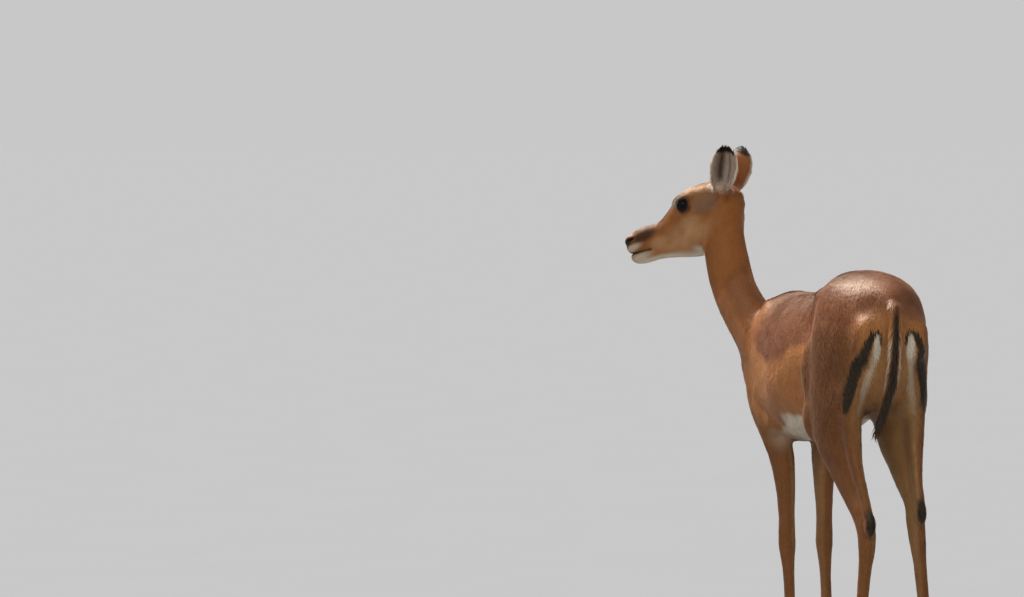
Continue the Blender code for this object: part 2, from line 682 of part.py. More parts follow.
def tail_solid(name, grow):
    """The tail, or with grow its seat: wider all round and deeper at the root."""
    rows = spline(TAIL, TAIL_SPACING)
    rows[:, 3:] += grow
    root_way = rows[0, :3] - rows[1, :3]
    rows[0, :3] += grow * root_way / np.linalg.norm(root_way)
    points, faces = limb_loft(rows, spacing=TAIL_SPACING * 2, count=TAIL_RING_POINTS)
    return facing_out(object_from(name, to_world(points), faces))


def claw_outline(length, width, count):
    """Half of a cloven hoof seen from below: pointed and bowed at the toe, rounded at the heel."""
    outer = [
        (length * (0.5 - share), width * math.sin(math.pi * (0.08 + 0.84 * share)) ** 0.55)
        for share in np.linspace(0.0, 1.0, count)
    ]
    inner = [(length * (share - 0.5) * 0.92, 0.0) for share in (0.0, 0.5, 1.0)]
    return np.array(outer + inner)


def make_claw(name, foot, heading, side):
    """One claw, with a flat sole on the floor and a flat top under the coronet."""
    turn = np.array(((math.cos(heading), math.sin(heading)), (-math.sin(heading), math.cos(heading))))
    loops = []
    for up, long, wide, forward in CLAW_LEVELS:
        outline = claw_outline(SOLE_LENGTH * long, SOLE_WIDTH * wide, CLAW_OUTLINE_POINTS)
        outline[:, 0] += forward
        outline[:, 1] = side * (outline[:, 1] + CLAW_CLEFT / 2)
        flat = outline @ turn + np.array(foot)
        loops.append(np.column_stack((flat, np.full(len(flat), up))))
    count = len(loops[0])
    points = np.vstack(loops)
    faces = [tuple(range(count)), tuple(range((len(loops) - 1) * count, len(loops) * count))]
    for i in range(len(loops) - 1):
        for j in range(count):
            k = (j + 1) % count
            faces.append((i * count + j, i * count + k, (i + 1) * count + k, (i + 1) * count + j))
    return facing_out(object_from(name, to_world(points), faces))


def make_hooves():
    """Two claws under each leg, toes turned slightly out."""
    claws = []
    for limb, feet in (("foreleg", FOREFOOT), ("hindleg", HINDFOOT)):
        for side_name, foot in feet.items():
            heading = SIDES[side_name] * TOES_OUT
            for place, side in (("left", 1.0), ("right", -1.0)):
                name = f"hoof_{limb}_{side_name}_{place}_claw"
                claws.append(make_claw(name, (foot[0] + CLAWS_AHEAD, foot[1]), heading, side))
    return claws


def coloured(item, look):
    name, colour, roughness = look
    material = bpy.data.materials.get(name) or bpy.data.materials.new(name)
    material.use_nodes = True
    shader = material.node_tree.nodes["Principled BSDF"]
    shader.inputs["Base Color"].default_value = (*colour, 1.0)
    shader.inputs["Roughness"].default_value = roughness
    shader.inputs["Metallic"].default_value = 0.0
    item.data.materials.clear()
    item.data.materials.append(material)
    item.data.shade_smooth()
    item.data.set_sharp_from_angle(angle=SHARP_ANGLE)


def centre_on_footprint(items):
    """Moves every mesh so that the middle of the whole model's box stands over the origin."""
    every = np.vstack([mesh_points(item.data) for item in items])
    low, high = every.min(axis=0), every.max(axis=0)
    shift = np.array(((low[0] + high[0]) / 2, (low[1] + high[1]) / 2, low[2]))
    for item in items:
        item.data.vertices.foreach_set("co", (mesh_points(item.data) - shift).ravel())
        item.data.update()


def grown(item, gap):
    """Makes a ball wider by a gap all round."""
    points = mesh_points(item.data)
    middle = points.mean(axis=0)
    radius = np.linalg.norm(points - middle, axis=1).max()
    item.data.vertices.foreach_set("co", (middle + (points - middle) * (1 + gap / radius)).ravel())
    item.data.update()
    return item


def parted_flesh():
    """The body's flesh with its seats cut in, parted into named nodes."""
    flesh = make_flesh()
    for side_name in SIDES:
        cut(flesh, grown(make_eye(side_name), GAP))
        cut(flesh, ear_seat(side_name))
    cut(flesh, tail_solid("tail_seat", 2 * GAP))
    for centre, facing, size in part_cuts():
        cut(flesh, box_cutter("part_cut", centre, facing, size))
    pieces = loose_parts(flesh)
    for piece in pieces:
        piece.name = name_of_piece(piece)
        piece.data.name = piece.name
        coloured(piece, BROWN_FUR)
    return pieces


def build():
    clear_scene()
    nodes = parted_flesh()
    for side_name in SIDES:
        eye = facing_out(make_eye(side_name))
        coloured(eye, WET_EYE)
        ear = make_ear(side_name)
        coloured(ear, EAR_FUR)
        nodes += [eye, ear]
    tail = tail_solid("tail", 0.0)
    coloured(tail, TAIL_FUR)
    nodes.append(tail)
    for claw in make_hooves():
        coloured(claw, HOOF_HORN)
        nodes.append(claw)
    centre_on_footprint(nodes)


build()
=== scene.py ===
"""Looks of the life-size impala ewe: one skin, a short coat over it, eyes, lids, ears, tail and claws.

The shape is laid out in body places (forward, left, up), as the CAD's is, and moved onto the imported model.
"""

import math

import bpy
import numpy as np
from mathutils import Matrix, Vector


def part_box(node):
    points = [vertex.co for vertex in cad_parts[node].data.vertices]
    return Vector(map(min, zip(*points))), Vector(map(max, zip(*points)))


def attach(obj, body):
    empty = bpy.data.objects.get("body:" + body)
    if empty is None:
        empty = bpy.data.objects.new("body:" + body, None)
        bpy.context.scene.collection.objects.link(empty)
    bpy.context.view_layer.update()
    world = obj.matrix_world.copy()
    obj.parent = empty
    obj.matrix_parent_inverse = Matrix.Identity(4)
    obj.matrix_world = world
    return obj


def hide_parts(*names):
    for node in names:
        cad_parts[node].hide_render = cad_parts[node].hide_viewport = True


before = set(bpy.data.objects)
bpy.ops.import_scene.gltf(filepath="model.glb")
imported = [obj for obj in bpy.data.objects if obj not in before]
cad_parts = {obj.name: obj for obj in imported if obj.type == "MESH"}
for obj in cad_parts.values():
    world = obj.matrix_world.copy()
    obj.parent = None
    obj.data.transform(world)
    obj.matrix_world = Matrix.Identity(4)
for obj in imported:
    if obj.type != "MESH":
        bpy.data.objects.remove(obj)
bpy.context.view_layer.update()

# Resolution: the head's magnification gives distances from its middle, plain and spread
VOXEL = 0.0046
RING_SPACING = 0.010
RING_POINTS = 36
BALL_POINTS = 20
BALL_SPAN = (0.06 * math.pi, 0.94 * math.pi)
PLACES_AT_ONCE = 20000
HEAD_MAGNIFY = np.array(((0.0, 0.18, 0.30, 2.0), (0.0, 0.432, 0.552, 2.252)))
HEAD_SLOPE = ((0.0, 0.18, 0.19), (2.4, 2.4, 1.0))

# Driving sizes of the ewe
RUMP_TOP = 0.857
BACK_TOP = 0.800
CORONET = 0.034
HEAD_YAW = math.radians(60.0)
HEAD_PITCH = math.radians(-28.0)
NOSE_PLACE = (0.585, 0.284, 0.894)
HEAD_SCALE = 1.05
HEAD_MIDDLE = (-0.13, 0.0, -0.02)
EYE_PLACE = (-0.149, 0.0335, 0.0105)
EYE_RADIUS = 0.0178
EAR_LENGTH = 0.109
EAR_WIDTHS = ((0.0, 0.12, 0.30, 0.50, 0.70, 0.85, 0.95, 1.0),
              (0.0160, 0.0200, 0.0285, 0.0335, 0.0300, 0.0200, 0.0110, 0.0050))
EAR_WRAPS = ((0.0, 0.15, 0.35, 0.60, 1.0), (150.0, 132.0, 92.0, 72.0, 60.0))
EAR_BOW = 0.010
EAR_SET_BACK = 0.012
EAR_CUP = 0.6
EAR_PLACE = (-0.2285, 0.040, -0.006)
EAR_LEAN = {"left": (-0.60, 0.22, 0.85), "right": (-0.70, 0.36, 0.85)}
EAR_OPENING = {"left": (0.10, 1.0, 0.0), "right": (0.30, 1.0, 0.0)}
SOLE_LENGTH = 0.050
SOLE_WIDTH = 0.0185
CLAW_CLEFT = 0.0016

# Where the feet stand: (forward, left) of each hoof's middle
FOREFOOT = {"left": (0.185, 0.042), "right": (0.240, -0.057)}
HINDFOOT = {"left": (-0.380, 0.066), "right": (-0.365, -0.088)}
HOCK_LIFT = {"left": -0.010, "right": 0.012}
SIDES = {"left": 1.0, "right": -1.0}

# Trunk stations: forward, left, top, widest level, bottom, half width, squareness
TRUNK = (
    (-0.436, 0.000, 0.775, 0.735, 0.690, 0.020, 2.0),
    (-0.420, 0.000, 0.803, 0.737, 0.650, 0.048, 2.0),
    (-0.390, 0.000, 0.828, 0.740, 0.605, 0.075, 2.1),
    (-0.340, 0.000, 0.846, 0.740, 0.577, 0.096, 2.3),
    (-0.280, 0.000, RUMP_TOP - 0.002, 0.738, 0.566, 0.106, 2.4),
    (-0.215, 0.000, RUMP_TOP, 0.725, 0.555, 0.105, 2.4),
    (-0.145, 0.000, 0.846, 0.695, 0.540, 0.097, 2.3),
    (-0.060, 0.000, 0.824, 0.665, 0.515, 0.104, 2.2),
    (0.040, 0.000, 0.806, 0.650, 0.499, 0.113, 2.1),
    (0.120, 0.000, BACK_TOP, 0.645, 0.487, 0.114, 2.1),
    (0.200, 0.000, 0.799, 0.642, 0.478, 0.107, 2.0),
    (0.280, 0.004, 0.796, 0.645, 0.479, 0.096, 2.0),
    (0.340, 0.014, 0.750, 0.650, 0.503, 0.082, 2.0),
    (0.388, 0.026, 0.716, 0.652, 0.554, 0.062, 2.0),
    (0.420, 0.032, 0.692, 0.652, 0.606, 0.028, 2.0),
)

# Neck stations: forward, left, up, half side, fore, aft, turn in degrees
NECK = (
    (0.250, 0.020, 0.640, 0.074, 0.108, 0.068, 0.0),
    (0.326, 0.058, 0.704, 0.054, 0.100, 0.048, 8.0),
    (0.392, 0.090, 0.785, 0.042, 0.070, 0.046, 18.0),
    (0.434, 0.1005, 0.850, 0.042, 0.057, 0.047, 30.0),
    (0.461, 0.105, 0.910, 0.040, 0.049, 0.046, 42.0),
    (0.475, 0.102, 0.965, 0.039, 0.047, 0.047, 54.0),
    (0.481, 0.099, 1.008, 0.036, 0.040, 0.041, 60.0),
)

# Left limb stations: forward, left, up, half side, fore, aft
FORELIMB = (
    (0.262, 0.046, 0.770, 0.020, 0.034, 0.034),
    (0.285, 0.057, 0.710, 0.030, 0.050, 0.052),
    (0.305, 0.063, 0.640, 0.035, 0.054, 0.066),
    (0.285, 0.064, 0.570, 0.035, 0.056, 0.074),
    (0.238, 0.058, 0.510, 0.032, 0.046, 0.056),
    (0.216, 0.047, 0.450, 0.027, 0.034, 0.038),
    (0.208, 0.042, 0.390, 0.0215, 0.026, 0.028),
    (0.206, 0.0405, 0.330, 0.0175, 0.0205, 0.0215),
    (0.208, 0.040, 0.292, 0.0180, 0.0195, 0.0195),
    (0.210, 0.0395, 0.262, 0.0185, 0.0205, 0.0200),
    (0.208, 0.039, 0.232, 0.0150, 0.0165, 0.0180),
    (0.205, 0.0385, 0.195, 0.0122, 0.0135, 0.0165),
    (0.203, 0.038, 0.145, 0.0118, 0.0130, 0.0165),
    (0.202, 0.038, 0.112, 0.0150, 0.0160, 0.0205),
    (0.209, 0.038, 0.086, 0.0145, 0.0155, 0.0175),
    (0.221, 0.038, 0.060, 0.0150, 0.0155, 0.0165),
    (0.231, 0.038, 0.038, 0.0185, 0.0190, 0.0195),
    (0.235, 0.038, 0.020, 0.0190, 0.0200, 0.0200),
)
HINDLIMB = (
    (-0.238, 0.050, 0.815, 0.036, 0.048, 0.056),
    (-0.246, 0.060, 0.745, 0.050, 0.082, 0.124),
    (-0.254, 0.064, 0.665, 0.051, 0.103, 0.145),
    (-0.246, 0.065, 0.590, 0.049, 0.104, 0.140),
    (-0.256, 0.066, 0.530, 0.043, 0.080, 0.108),
    (-0.296, 0.063, 0.475, 0.033, 0.050, 0.064),
    (-0.342, 0.058, 0.425, 0.0240, 0.034, 0.040),
    (-0.380, 0.054, 0.385, 0.0180, 0.025, 0.028),
    (-0.403, 0.049, 0.350, 0.0185, 0.023, 0.027),
    (-0.409, 0.049, 0.312, 0.0170, 0.0195, 0.0230),
    (-0.407, 0.052, 0.270, 0.0135, 0.0155, 0.0190),
    (-0.403, 0.056, 0.200, 0.0120, 0.0138, 0.0168),
    (-0.400, 0.058, 0.140, 0.0122, 0.0138, 0.0170),
    (-0.398, 0.059, 0.110, 0.0152, 0.0165, 0.0210),
    (-0.391, 0.060, 0.086, 0.0145, 0.0155, 0.0175),
    (-0.378, 0.060, 0.060, 0.0150, 0.0155, 0.0165),
    (-0.368, 0.060, 0.038, 0.0182, 0.0190, 0.0195),
    (-0.364, 0.060, 0.020, 0.0185, 0.0200, 0.0200),
)
ACHILLES = (
    (-0.352, 0.066, 0.610, 0.0240, 0.040, 0.034),
    (-0.362, 0.066, 0.550, 0.0210, 0.044, 0.026),
    (-0.382, 0.063, 0.480, 0.0140, 0.036, 0.017),
    (-0.410, 0.057, 0.425, 0.0105, 0.027, 0.012),
    (-0.433, 0.052, 0.376, 0.0105, 0.022, 0.012),
)
TAIL = (
    (-0.405, 0.000, 0.800, 0.0130, 0.0120, 0.0120),
    (-0.432, 0.001, 0.788, 0.0155, 0.0120, 0.0120),
    (-0.449, 0.003, 0.752, 0.0165, 0.0110, 0.0110),
    (-0.452, 0.006, 0.700, 0.0160, 0.0100, 0.0110),
    (-0.450, 0.011, 0.640, 0.0155, 0.0100, 0.0110),
    (-0.447, 0.024, 0.590, 0.0135, 0.0095, 0.0105),
    (-0.445, 0.036, 0.556, 0.0095, 0.0070, 0.0080),
    (-0.443, 0.043, 0.536, 0.0035, 0.0030, 0.0035),
)
FORELIMB_SWINGS_BELOW = 0.50
HINDLIMB_SWINGS_BELOW = 0.42
HOCK_HEIGHT = 0.37
HOCK_REACH = 0.11

# Head stations in head places: forward of the nose tip, top, widest level, bottom, half width
SKULL_SQUARENESS = 2.2
JAW_SQUARENESS = 2.1
SKULL = (
    (0.0110, -0.005, -0.010, -0.017, 0.0085),
    (0.0060, 0.004, -0.010, -0.024, 0.0150),
    (-0.003, 0.0120, -0.010, -0.028, 0.0195),
    (-0.014, 0.0165, -0.011, -0.032, 0.0220),
    (-0.027, 0.0180, -0.012, -0.035, 0.0235),
    (-0.045, 0.0165, -0.014, -0.041, 0.0245),
    (-0.073, 0.0100, -0.018, -0.048, 0.0275),
    (-0.098, 0.0175, -0.016, -0.056, 0.0340),
    (-0.122, 0.0295, -0.005, -0.062, 0.0410),
    (-0.145, 0.038, 0.006, -0.064, 0.0440),
    (-0.172, 0.041, 0.008, -0.064, 0.0440),
    (-0.205, 0.036, 0.003, -0.060, 0.0425),
    (-0.236, 0.020, -0.010, -0.056, 0.0370),
    (-0.256, -0.004, -0.022, -0.046, 0.0220),
)
JAW = (
    (0.0120, -0.028, -0.034, -0.040, 0.0080),
    (0.0065, -0.024, -0.035, -0.047, 0.0130),
    (-0.006, -0.022, -0.037, -0.0535, 0.0165),
    (-0.025, -0.022, -0.040, -0.0575, 0.0180),
    (-0.048, -0.024, -0.044, -0.0630, 0.0195),
    (-0.076, -0.025, -0.049, -0.0750, 0.0220),
    (-0.105, -0.022, -0.050, -0.0895, 0.0280),
    (-0.135, -0.018, -0.050, -0.100, 0.0320),
    (-0.165, -0.018, -0.050, -0.094, 0.0300),
    (-0.185, -0.018, -0.045, -0.074, 0.0220),
)

# Ellipsoids that round out the body, on both sides: name, place, radii
BODY_BULGES = (
    ("hock point", (-0.435, 0.051, 0.366), (0.0160, 0.0120, 0.026)),
    ("stifle", (-0.180, 0.082, 0.560), (0.046, 0.034, 0.060)),
    ("thigh front", (-0.172, 0.088, 0.655), (0.048, 0.030, 0.080)),
    ("hip bone", (-0.165, 0.072, 0.795), (0.034, 0.022, 0.026)),
    ("buttock", (-0.400, 0.050, 0.725), (0.036, 0.032, 0.058)),
    ("breast", (0.352, 0.030, 0.615), (0.036, 0.030, 0.052)),
    ("elbow", (0.200, 0.066, 0.525), (0.034, 0.022, 0.034)),
)
HEAD_BULGES = (
    ("brow", (-0.154, 0.0320, 0.0225), (0.032, 0.0190, 0.0150)),
    ("cheekbone", (-0.142, 0.0325, -0.013), (0.036, 0.0150, 0.0150)),
    ("masseter", (-0.148, 0.026, -0.052), (0.034, 0.0140, 0.034)),
    ("ear root", (-0.225, 0.027, 0.002), (0.021, 0.0165, 0.018)),
    ("nostril wing", (-0.004, 0.0130, 0.0015), (0.013, 0.0090, 0.0105)),
)

# Hollows and rises pressed into the flesh, on both sides: name, place, reach, depth (negative swells)
PRESSES = (
    ("flank hollow", (-0.118, 0.100, 0.750), 0.055, 0.018),
    ("flank fold", (-0.085, 0.105, 0.610), 0.050, 0.005),
    ("behind the shoulder", (0.150, 0.110, 0.640), 0.060, 0.006),
    ("before the shoulder", (0.365, 0.085, 0.700), 0.040, 0.004),
    ("thigh groove", (-0.345, 0.105, 0.640), 0.045, 0.007),
    ("beside the tail root", (-0.405, 0.045, 0.790), 0.030, 0.008),
    ("between the buttocks", (-0.440, 0.000, 0.700), 0.035, 0.012),
    ("loin", (-0.060, 0.050, 0.815), 0.050, 0.004),
    ("shoulder blade", (0.265, 0.085, 0.730), 0.050, -0.005),
    ("rib cage", (0.060, 0.112, 0.600), 0.090, -0.005),
)

# How far the fused flesh is smoothed, in metres: by height above the floor, on the neck, and along the head
SOFTNESS_BY_HEIGHT = ((0.0, 0.40, 0.50, 0.60), (0.0022, 0.0028, 0.010, 0.015))
NECK_SOFTNESS = 0.007
HEAD_SOFTNESS = ((-0.20, -0.10, -0.05), (0.0070, 0.0065, 0.0042))
EAR_SOFTNESS = 0.0013

# Where a region fades in or out: distances from the head's middle, the neck's or the tail's middle line,
# shares of the neck's, the tail's or an ear's length, and places forward and up
HEAD_ENDS = (0.145, 0.22)
NECK_FROM = (0.26, 0.31)
NECK_FROM_UP = (0.70, 0.75)
NECK_REACH = (0.075, 0.12)
NECK_SHARE_FROM = (0.05, 0.24)
TAIL_REACH = (0.0105, 0.0135)
TAIL_FROM = (0.02, 0.08)
EAR_REACH = ((0.0, 0.3, 0.6, 1.0), (0.030, 0.036, 0.036, 0.020))
EAR_REACH_FADE = 0.012
EAR_FROM = (0.02, 0.20)
EAR_TO = 1.3
LEGS_BELOW = 0.49
QUARTERS_BEHIND = -0.10
HEAD_PIECE_SHARE = 0.3

# The ears' and tail's flesh inside their hair
EAR_HAIR = 0.0005
EAR_RINGS = 40
EAR_ARC_POINTS = 22
EAR_WALLS = ((0.0, 0.3, 1.0), (0.0042, 0.0032, 0.0028))
EAR_FLESH_ROOT = -0.08
EAR_FLESH_TIP = 0.97
EAR_FLESH_WRAP = 0.99
TAIL_CORE = 0.62
TAIL_ROOT_SINK = 0.02
TAIL_RING_SPACING = 0.006
TAIL_RING_POINTS = 32
SKIN_OVER_CLAWS = 0.0006

# The eyeballs, and their openings: directions are head places, angles are seen from the eyeball's middle.
# A spread is how many times the opening would have to grow to reach a place.
EYE_RINGS = 39
EYE_POINTS = 64
EYE_INSET = 0.0004
CORNEA_BULGE = 0.0009
CORNEA_REACH = 0.55
EYE_REGION = 0.036
EYE_RIM_AHEAD = 0.001
EYE_GAZE = (0.12, 1.0, 0.08)
EYE_FORE = (1.0, 0.0, -0.42)
EYE_HALF_LONG = math.radians(43.5)
EYE_HALF_TALL = math.radians(36.0)
OPENING_POWER = 1.75
OPENING_SLANT = 0.18
SKIN_OVER_EYE = ((1.0, 1.22, 1.5, 2.2, 6.0), (-0.004, -0.003, 0.0013, 0.0010, 0.0008))
LID_SPREAD = 1.5
LID_POINTS = 96
LID_FOLD = 0.0007
LID_FOLD_SPREAD = 1.30
LID_FOLD_REACH = 0.10
UPPER_LID_SWELL = 0.35
LID_PROFILE = (
    (0.96, -0.0012),
    (0.985, 0.0002),
    (1.01, 0.0009),
    (1.05, 0.0014),
    (1.12, 0.0018),
    (1.21, 0.0019),
    (1.30, 0.0019),
    (1.41, 0.0017),
    (1.54, 0.0012),
    (1.70, 0.0004),
    (1.88, -0.0008),
)

# Lines worked into the face, in head places: name, path, reach, depth. Distances aside count less, and a line
# is deepest in its middle: its ends keep a share of the depth.
FACE_LINE_VIEW = (1.0, 0.4, 1.0)
FACE_LINE_ENDS = 0.35
FACE_LINE_TAPER = ((0.0, 1.0), (0.12, 0.88))
FACE_LINE_EDGE = (0.0018, 0.0042)
FACE_LINES = (
    ("nostril", ((0.0030, 0.0080, 0.0020), (-0.003, 0.0170, 0.0045), (-0.013, 0.0195, 0.0030)),
     0.0027, 0.0080),
    ("mouth", ((0.0100, 0.0, -0.0225), (0.0040, 0.0130, -0.0240), (-0.010, 0.0185, -0.0280),
               (-0.026, 0.0215, -0.0315), (-0.036, 0.0222, -0.0345)), 0.0021, 0.0036),
    ("philtrum", ((0.0100, 0.0, -0.006), (0.0110, 0.0, -0.019)), 0.0018, 0.0010),
)

# Hollows and rises of the face, in head places: name, place, reach, depth (negative swells)
FACE_PRESSES = (
    ("nostril wing", (-0.005, 0.0150, 0.0100), 0.006, -0.0014),
    ("under the nostril", (0.002, 0.0150, -0.0040), 0.006, 0.0012),
    ("upper lip", (0.006, 0.0080, -0.0150), 0.009, -0.0012),
    ("lower lip", (0.008, 0.0060, -0.0290), 0.007, -0.0012),
    ("under the lower lip", (0.002, 0.0140, -0.0330), 0.008, 0.0008),
    ("before the eye", (-0.112, 0.0340, -0.004), 0.014, 0.0022),
    ("temple", (-0.190, 0.0420, 0.012), 0.016, 0.0018),
    ("side of the nose", (-0.058, 0.0260, -0.004), 0.018, 0.0022),
    ("corner of the mouth", (-0.048, 0.0240, -0.038), 0.009, -0.0010),
    ("cheek edge", (-0.115, 0.0400, -0.030), 0.014, -0.0012),
)

# How the hair lies on the body, how far each guide's say reaches, and how far apart guides are
BACK_LIE = np.array((-1.0, 0.0, 0.0))
RUMP_LIE = np.array((-0.25, 0.0, -1.0))
FLANK_LIE = np.array((-1.0, 0.0, -0.45))
BUTTOCK_LIE = np.array((-0.1, 0.0, -1.0))
BELLY_LIE = np.array((-1.0, 0.0, -0.1))
TAIL_LIE = np.array((-0.05, 0.0, -1.0))
UPPER_LIMB_LEAN = np.array((-0.30, 0.0, 0.0))
UPPER_LIMB_FROM = 0.55
RUMP_TILTS = (0.26, 0.46)
TRUNK_GUIDE = 0.11
BELLY_GUIDE = 0.09
NECK_GUIDE = 0.10
NECK_GUIDE_SPACING = 0.05
LIMB_GUIDE_SPACING = 0.04
LIMB_GUIDE_HALF_DEPTHS = 1.6
LEAST_GUIDE = 0.035

# How the hair lies on the head, in head places: place and direction
HEAD_LIE = (
    ((-0.005, 0.000, 0.000), (-0.9, 0.00, 0.40)),
    ((-0.005, 0.015, -0.015), (-1.0, 0.20, 0.05)),
    ((-0.050, 0.000, 0.006), (-1.0, 0.00, 0.08)),
    ((-0.050, 0.022, -0.020), (-1.0, 0.05, -0.15)),
    ((-0.100, 0.000, 0.014), (-1.0, 0.00, 0.20)),
    ((-0.100, 0.032, -0.020), (-1.0, 0.05, -0.10)),
    ((-0.150, 0.000, 0.038), (-1.0, 0.05, 0.00)),
    ((-0.140, 0.044, -0.020), (-1.0, 0.00, -0.35)),
    ((-0.190, 0.040, 0.000), (-1.0, 0.00, -0.30)),
    ((-0.230, 0.000, 0.020), (-0.7, 0.00, -0.70)),
    ((-0.060, 0.018, -0.060), (-1.0, 0.00, -0.20)),
    ((-0.150, 0.024, -0.080), (-0.8, 0.00, -0.60)),
    ((0.000, 0.000, -0.052), (-0.4, 0.00, -0.90)),
    ((-0.110, 0.000, -0.088), (-1.0, 0.00, -0.20)),
)

# The coat's colours, as on a screen
COAT = {
    "flank": (176, 114, 61),
    "saddle": (124, 70, 38),
    "ridge": (94, 50, 26),
    # The thigh's colour is partly its own darker brown and partly painted shade, laid darker than the flank
    # to stand for the haunch's shade
    "thigh": (108, 60, 22),
    "leg": (122, 72, 32),
    "neck": (172, 108, 60),
    "nape": (122, 70, 35),
    "inner": (160, 122, 78),
    "white": (222, 211, 190),
    "black": (17, 13, 11),
    "face": (152, 94, 48),
    # The bridge's dark brown is partly the muzzle's own and partly painted shade on its top
    "bridge": (84, 44, 20),
    "eye ring": (58, 40, 30),
    "smudge": (54, 32, 19),
    # pale is the cheeks' and mouth corners' own colour, and is also laid on as painted highlight on the
    # forehead, along the bridge's edge and over the nose
    "pale": (202, 162, 120),
    "grey": (128, 108, 90),
    # lip is the lips' and chin's own colour; over the brow it is partly a painted highlight
    "lip": (196, 182, 160),
    "nose": (24, 19, 18),
    "ear back": (152, 94, 52),
    "ear inside": (176, 156, 138),
    "ear streak": (60, 42, 33),
}
SADDLE_BORDER = ((-0.42, -0.30, -0.10, 0.02, 0.12, 0.20, 0.26, 0.34, 0.42),
                 (0.765, 0.735, 0.690, 0.664, 0.652, 0.664, 0.700, 0.760, 0.82))
BELLY_BORDER = ((-0.25, -0.10, 0.05, 0.15, 0.25, 0.33), (0.575, 0.560, 0.532, 0.512, 0.494, 0.485))
NECK_NAPE_AXIS = (-0.62, 0.18, 0.45)

# Where marks fade in or out: heights, places forward or aside, heights over a border, or how far the skin
# faces a way. An ellipsoid is its middle, radii and edge; a ripple is its size, span and seed.
BORDER_RIPPLES = ((0.008, 0.07, 3), (0.003, 0.02, 4))
LEGS_END = (0.46, 0.60)
# SHADED_HAUNCH is where the thigh's colour, which holds painted shade, covers the haunch
SHADED_HAUNCH = ((-0.29, 0.10, 0.63), (0.15, 0.09, 0.19), 0.45)
SADDLE_EDGE = (-0.006, 0.020)
RIDGE_EDGE = (0.05, 0.15)
NAPE_FACES = (0.40, 0.92)
BELLY_EDGE = (-0.006, 0.008)
BELLY_FROM_UP = (0.455, 0.49)
BELLY_FROM = (-0.235, -0.195)
BELLY_TO = (0.10, 0.22)
BELLY_WIDENS = (-0.150, -0.110)
BELLY_NARROW = (0.045, 0.065)
LEG_INSIDE_FACES = (0.1, 0.8)
LEG_INSIDE_FROM = (0.22, 0.42)
LEG_INSIDE_TO = (0.56, 0.66)
SHANK_INSIDE_TO = (0.30, 0.46)
CORONET_DARK = (0.036, 0.052)
FACE_FROM = (0.15, 0.85)
THROAT = ((-0.150, 0.0, -0.118), (0.050, 0.030, 0.030), 0.5)
# The bridge darkens where the skin faces up: its own colour with painted shade laid in
SHADED_BRIDGE_FACES = (0.45, 0.9)
BRIDGE_FROM = (-0.17, -0.12)
BRIDGE_TO = (-0.022, -0.010)
CHIN_FACES = (0.25, 0.80)
CHIN_TO_UP = (-0.050, -0.036)
EYE_RING_REGION = 0.040
EYE_RING_SPREAD = (1.5, 2.7)
EYE_BLACK_SPREAD = (1.12, 1.50)
TAIL_TAN_EDGE = (1.1, 1.5)
TAIL_LINE_EDGE = (0.7, 1.2)
TAIL_LINE_WIDTHS = ((0.54, 0.60, 0.68, 0.76), (0.0110, 0.0080, 0.0062, 0.0045))
TAIL_PALE_TO = (0.70, 0.76)
TAIL_LINE_TO = (0.760, 0.800)
TAIL_BACK_FACES = (-0.2, 0.3)

# How fully a mark covers what is under it
STRENGTH = {
    "ridge": 0.55,
    "nape": 0.75,
    "rump": 0.50,
    "leg inside": 0.75,
    "shank inside": 0.40,
    "coronet": 0.6,
    "eye ring": 0.60,
    "bridge": 0.85,
    "ear white": 0.8,
    "tail white": 0.7,
}
RUMP_LINE_STRENGTHS = (0.55, 0.2475)

# Marks of the buttocks: |left| and up along each, and the stripe's width at shares of its length
RUMP_STRIPE = ((0.026, 0.720), (0.027, 0.736), (0.034, 0.744), (0.044, 0.739),
               (0.056, 0.714), (0.068, 0.673), (0.077, 0.628), (0.084, 0.578))
RUMP_STRIPE_WIDTH = ((0.0, 0.12, 0.26, 0.55, 0.85, 1.0), (0.0022, 0.0030, 0.0080, 0.0110, 0.0085, 0.0030))
RUMP_WHITE = ((0.0345, 0.712), (0.0075, 0.026), 0.3)
RUMP_PALE = ((0.026, 0.625), (0.050, 0.110), 0.45)
RUMP_PALE_LINE = ((0.0345, 0.712), (0.046, 0.655), (0.053, 0.580))
RUMP_LINE_EDGE = (0.0030, 0.0090)
RUMP_STRIPE_EDGE = (0.85, 1.15)
RUMP_BEHIND = (0.25, 0.33)

# The hind legs' black tufts, at the hock and over the heel
LEG_TUFTS = ((-0.440, 0.052, 0.372), (-0.420, 0.059, 0.128))
LEG_TUFT_RADII = ((0.024, 0.015, 0.026), (0.024, 0.020, 0.030))
LEG_TUFT_FACES = (0.1, 0.6)
LEG_TUFT_HAIR = (0.004, 0.008)
LEG_TUFT_REACH = (0.024, 0.022)
LEG_TUFT_LIFT = 0.22
LEG_TUFT_HAIR_FACES = (0.0, 0.6)

# The ears' dark hair inside: middle and width as shares of the half width, and strength
EAR_STREAKS = ((-0.42, 0.28, 0.95), (0.22, 0.13, 0.60))
EAR_MARK_WIDTHS = ((0.0, 0.3, 0.5, 0.7, 1.0), (0.020, 0.0285, 0.0335, 0.030, 0.007))
EAR_FRONT_FACES = (-0.35, 0.15)
EAR_STREAKS_FROM = (0.12, 0.30)
EAR_STREAKS_TO = (0.70, 0.92)
EAR_RIM = (0.74, 0.95)
EAR_ROOT_TO = (0.04, 0.22)
EAR_ROOT_FACES = (-0.2, 0.4)
EAR_ROOT_BEHIND = 0.4
EAR_WHITE_TO = 0.84
EAR_BLACK_FROM = (0.73, 0.83)
EAR_TIP_WANDER = 0.03

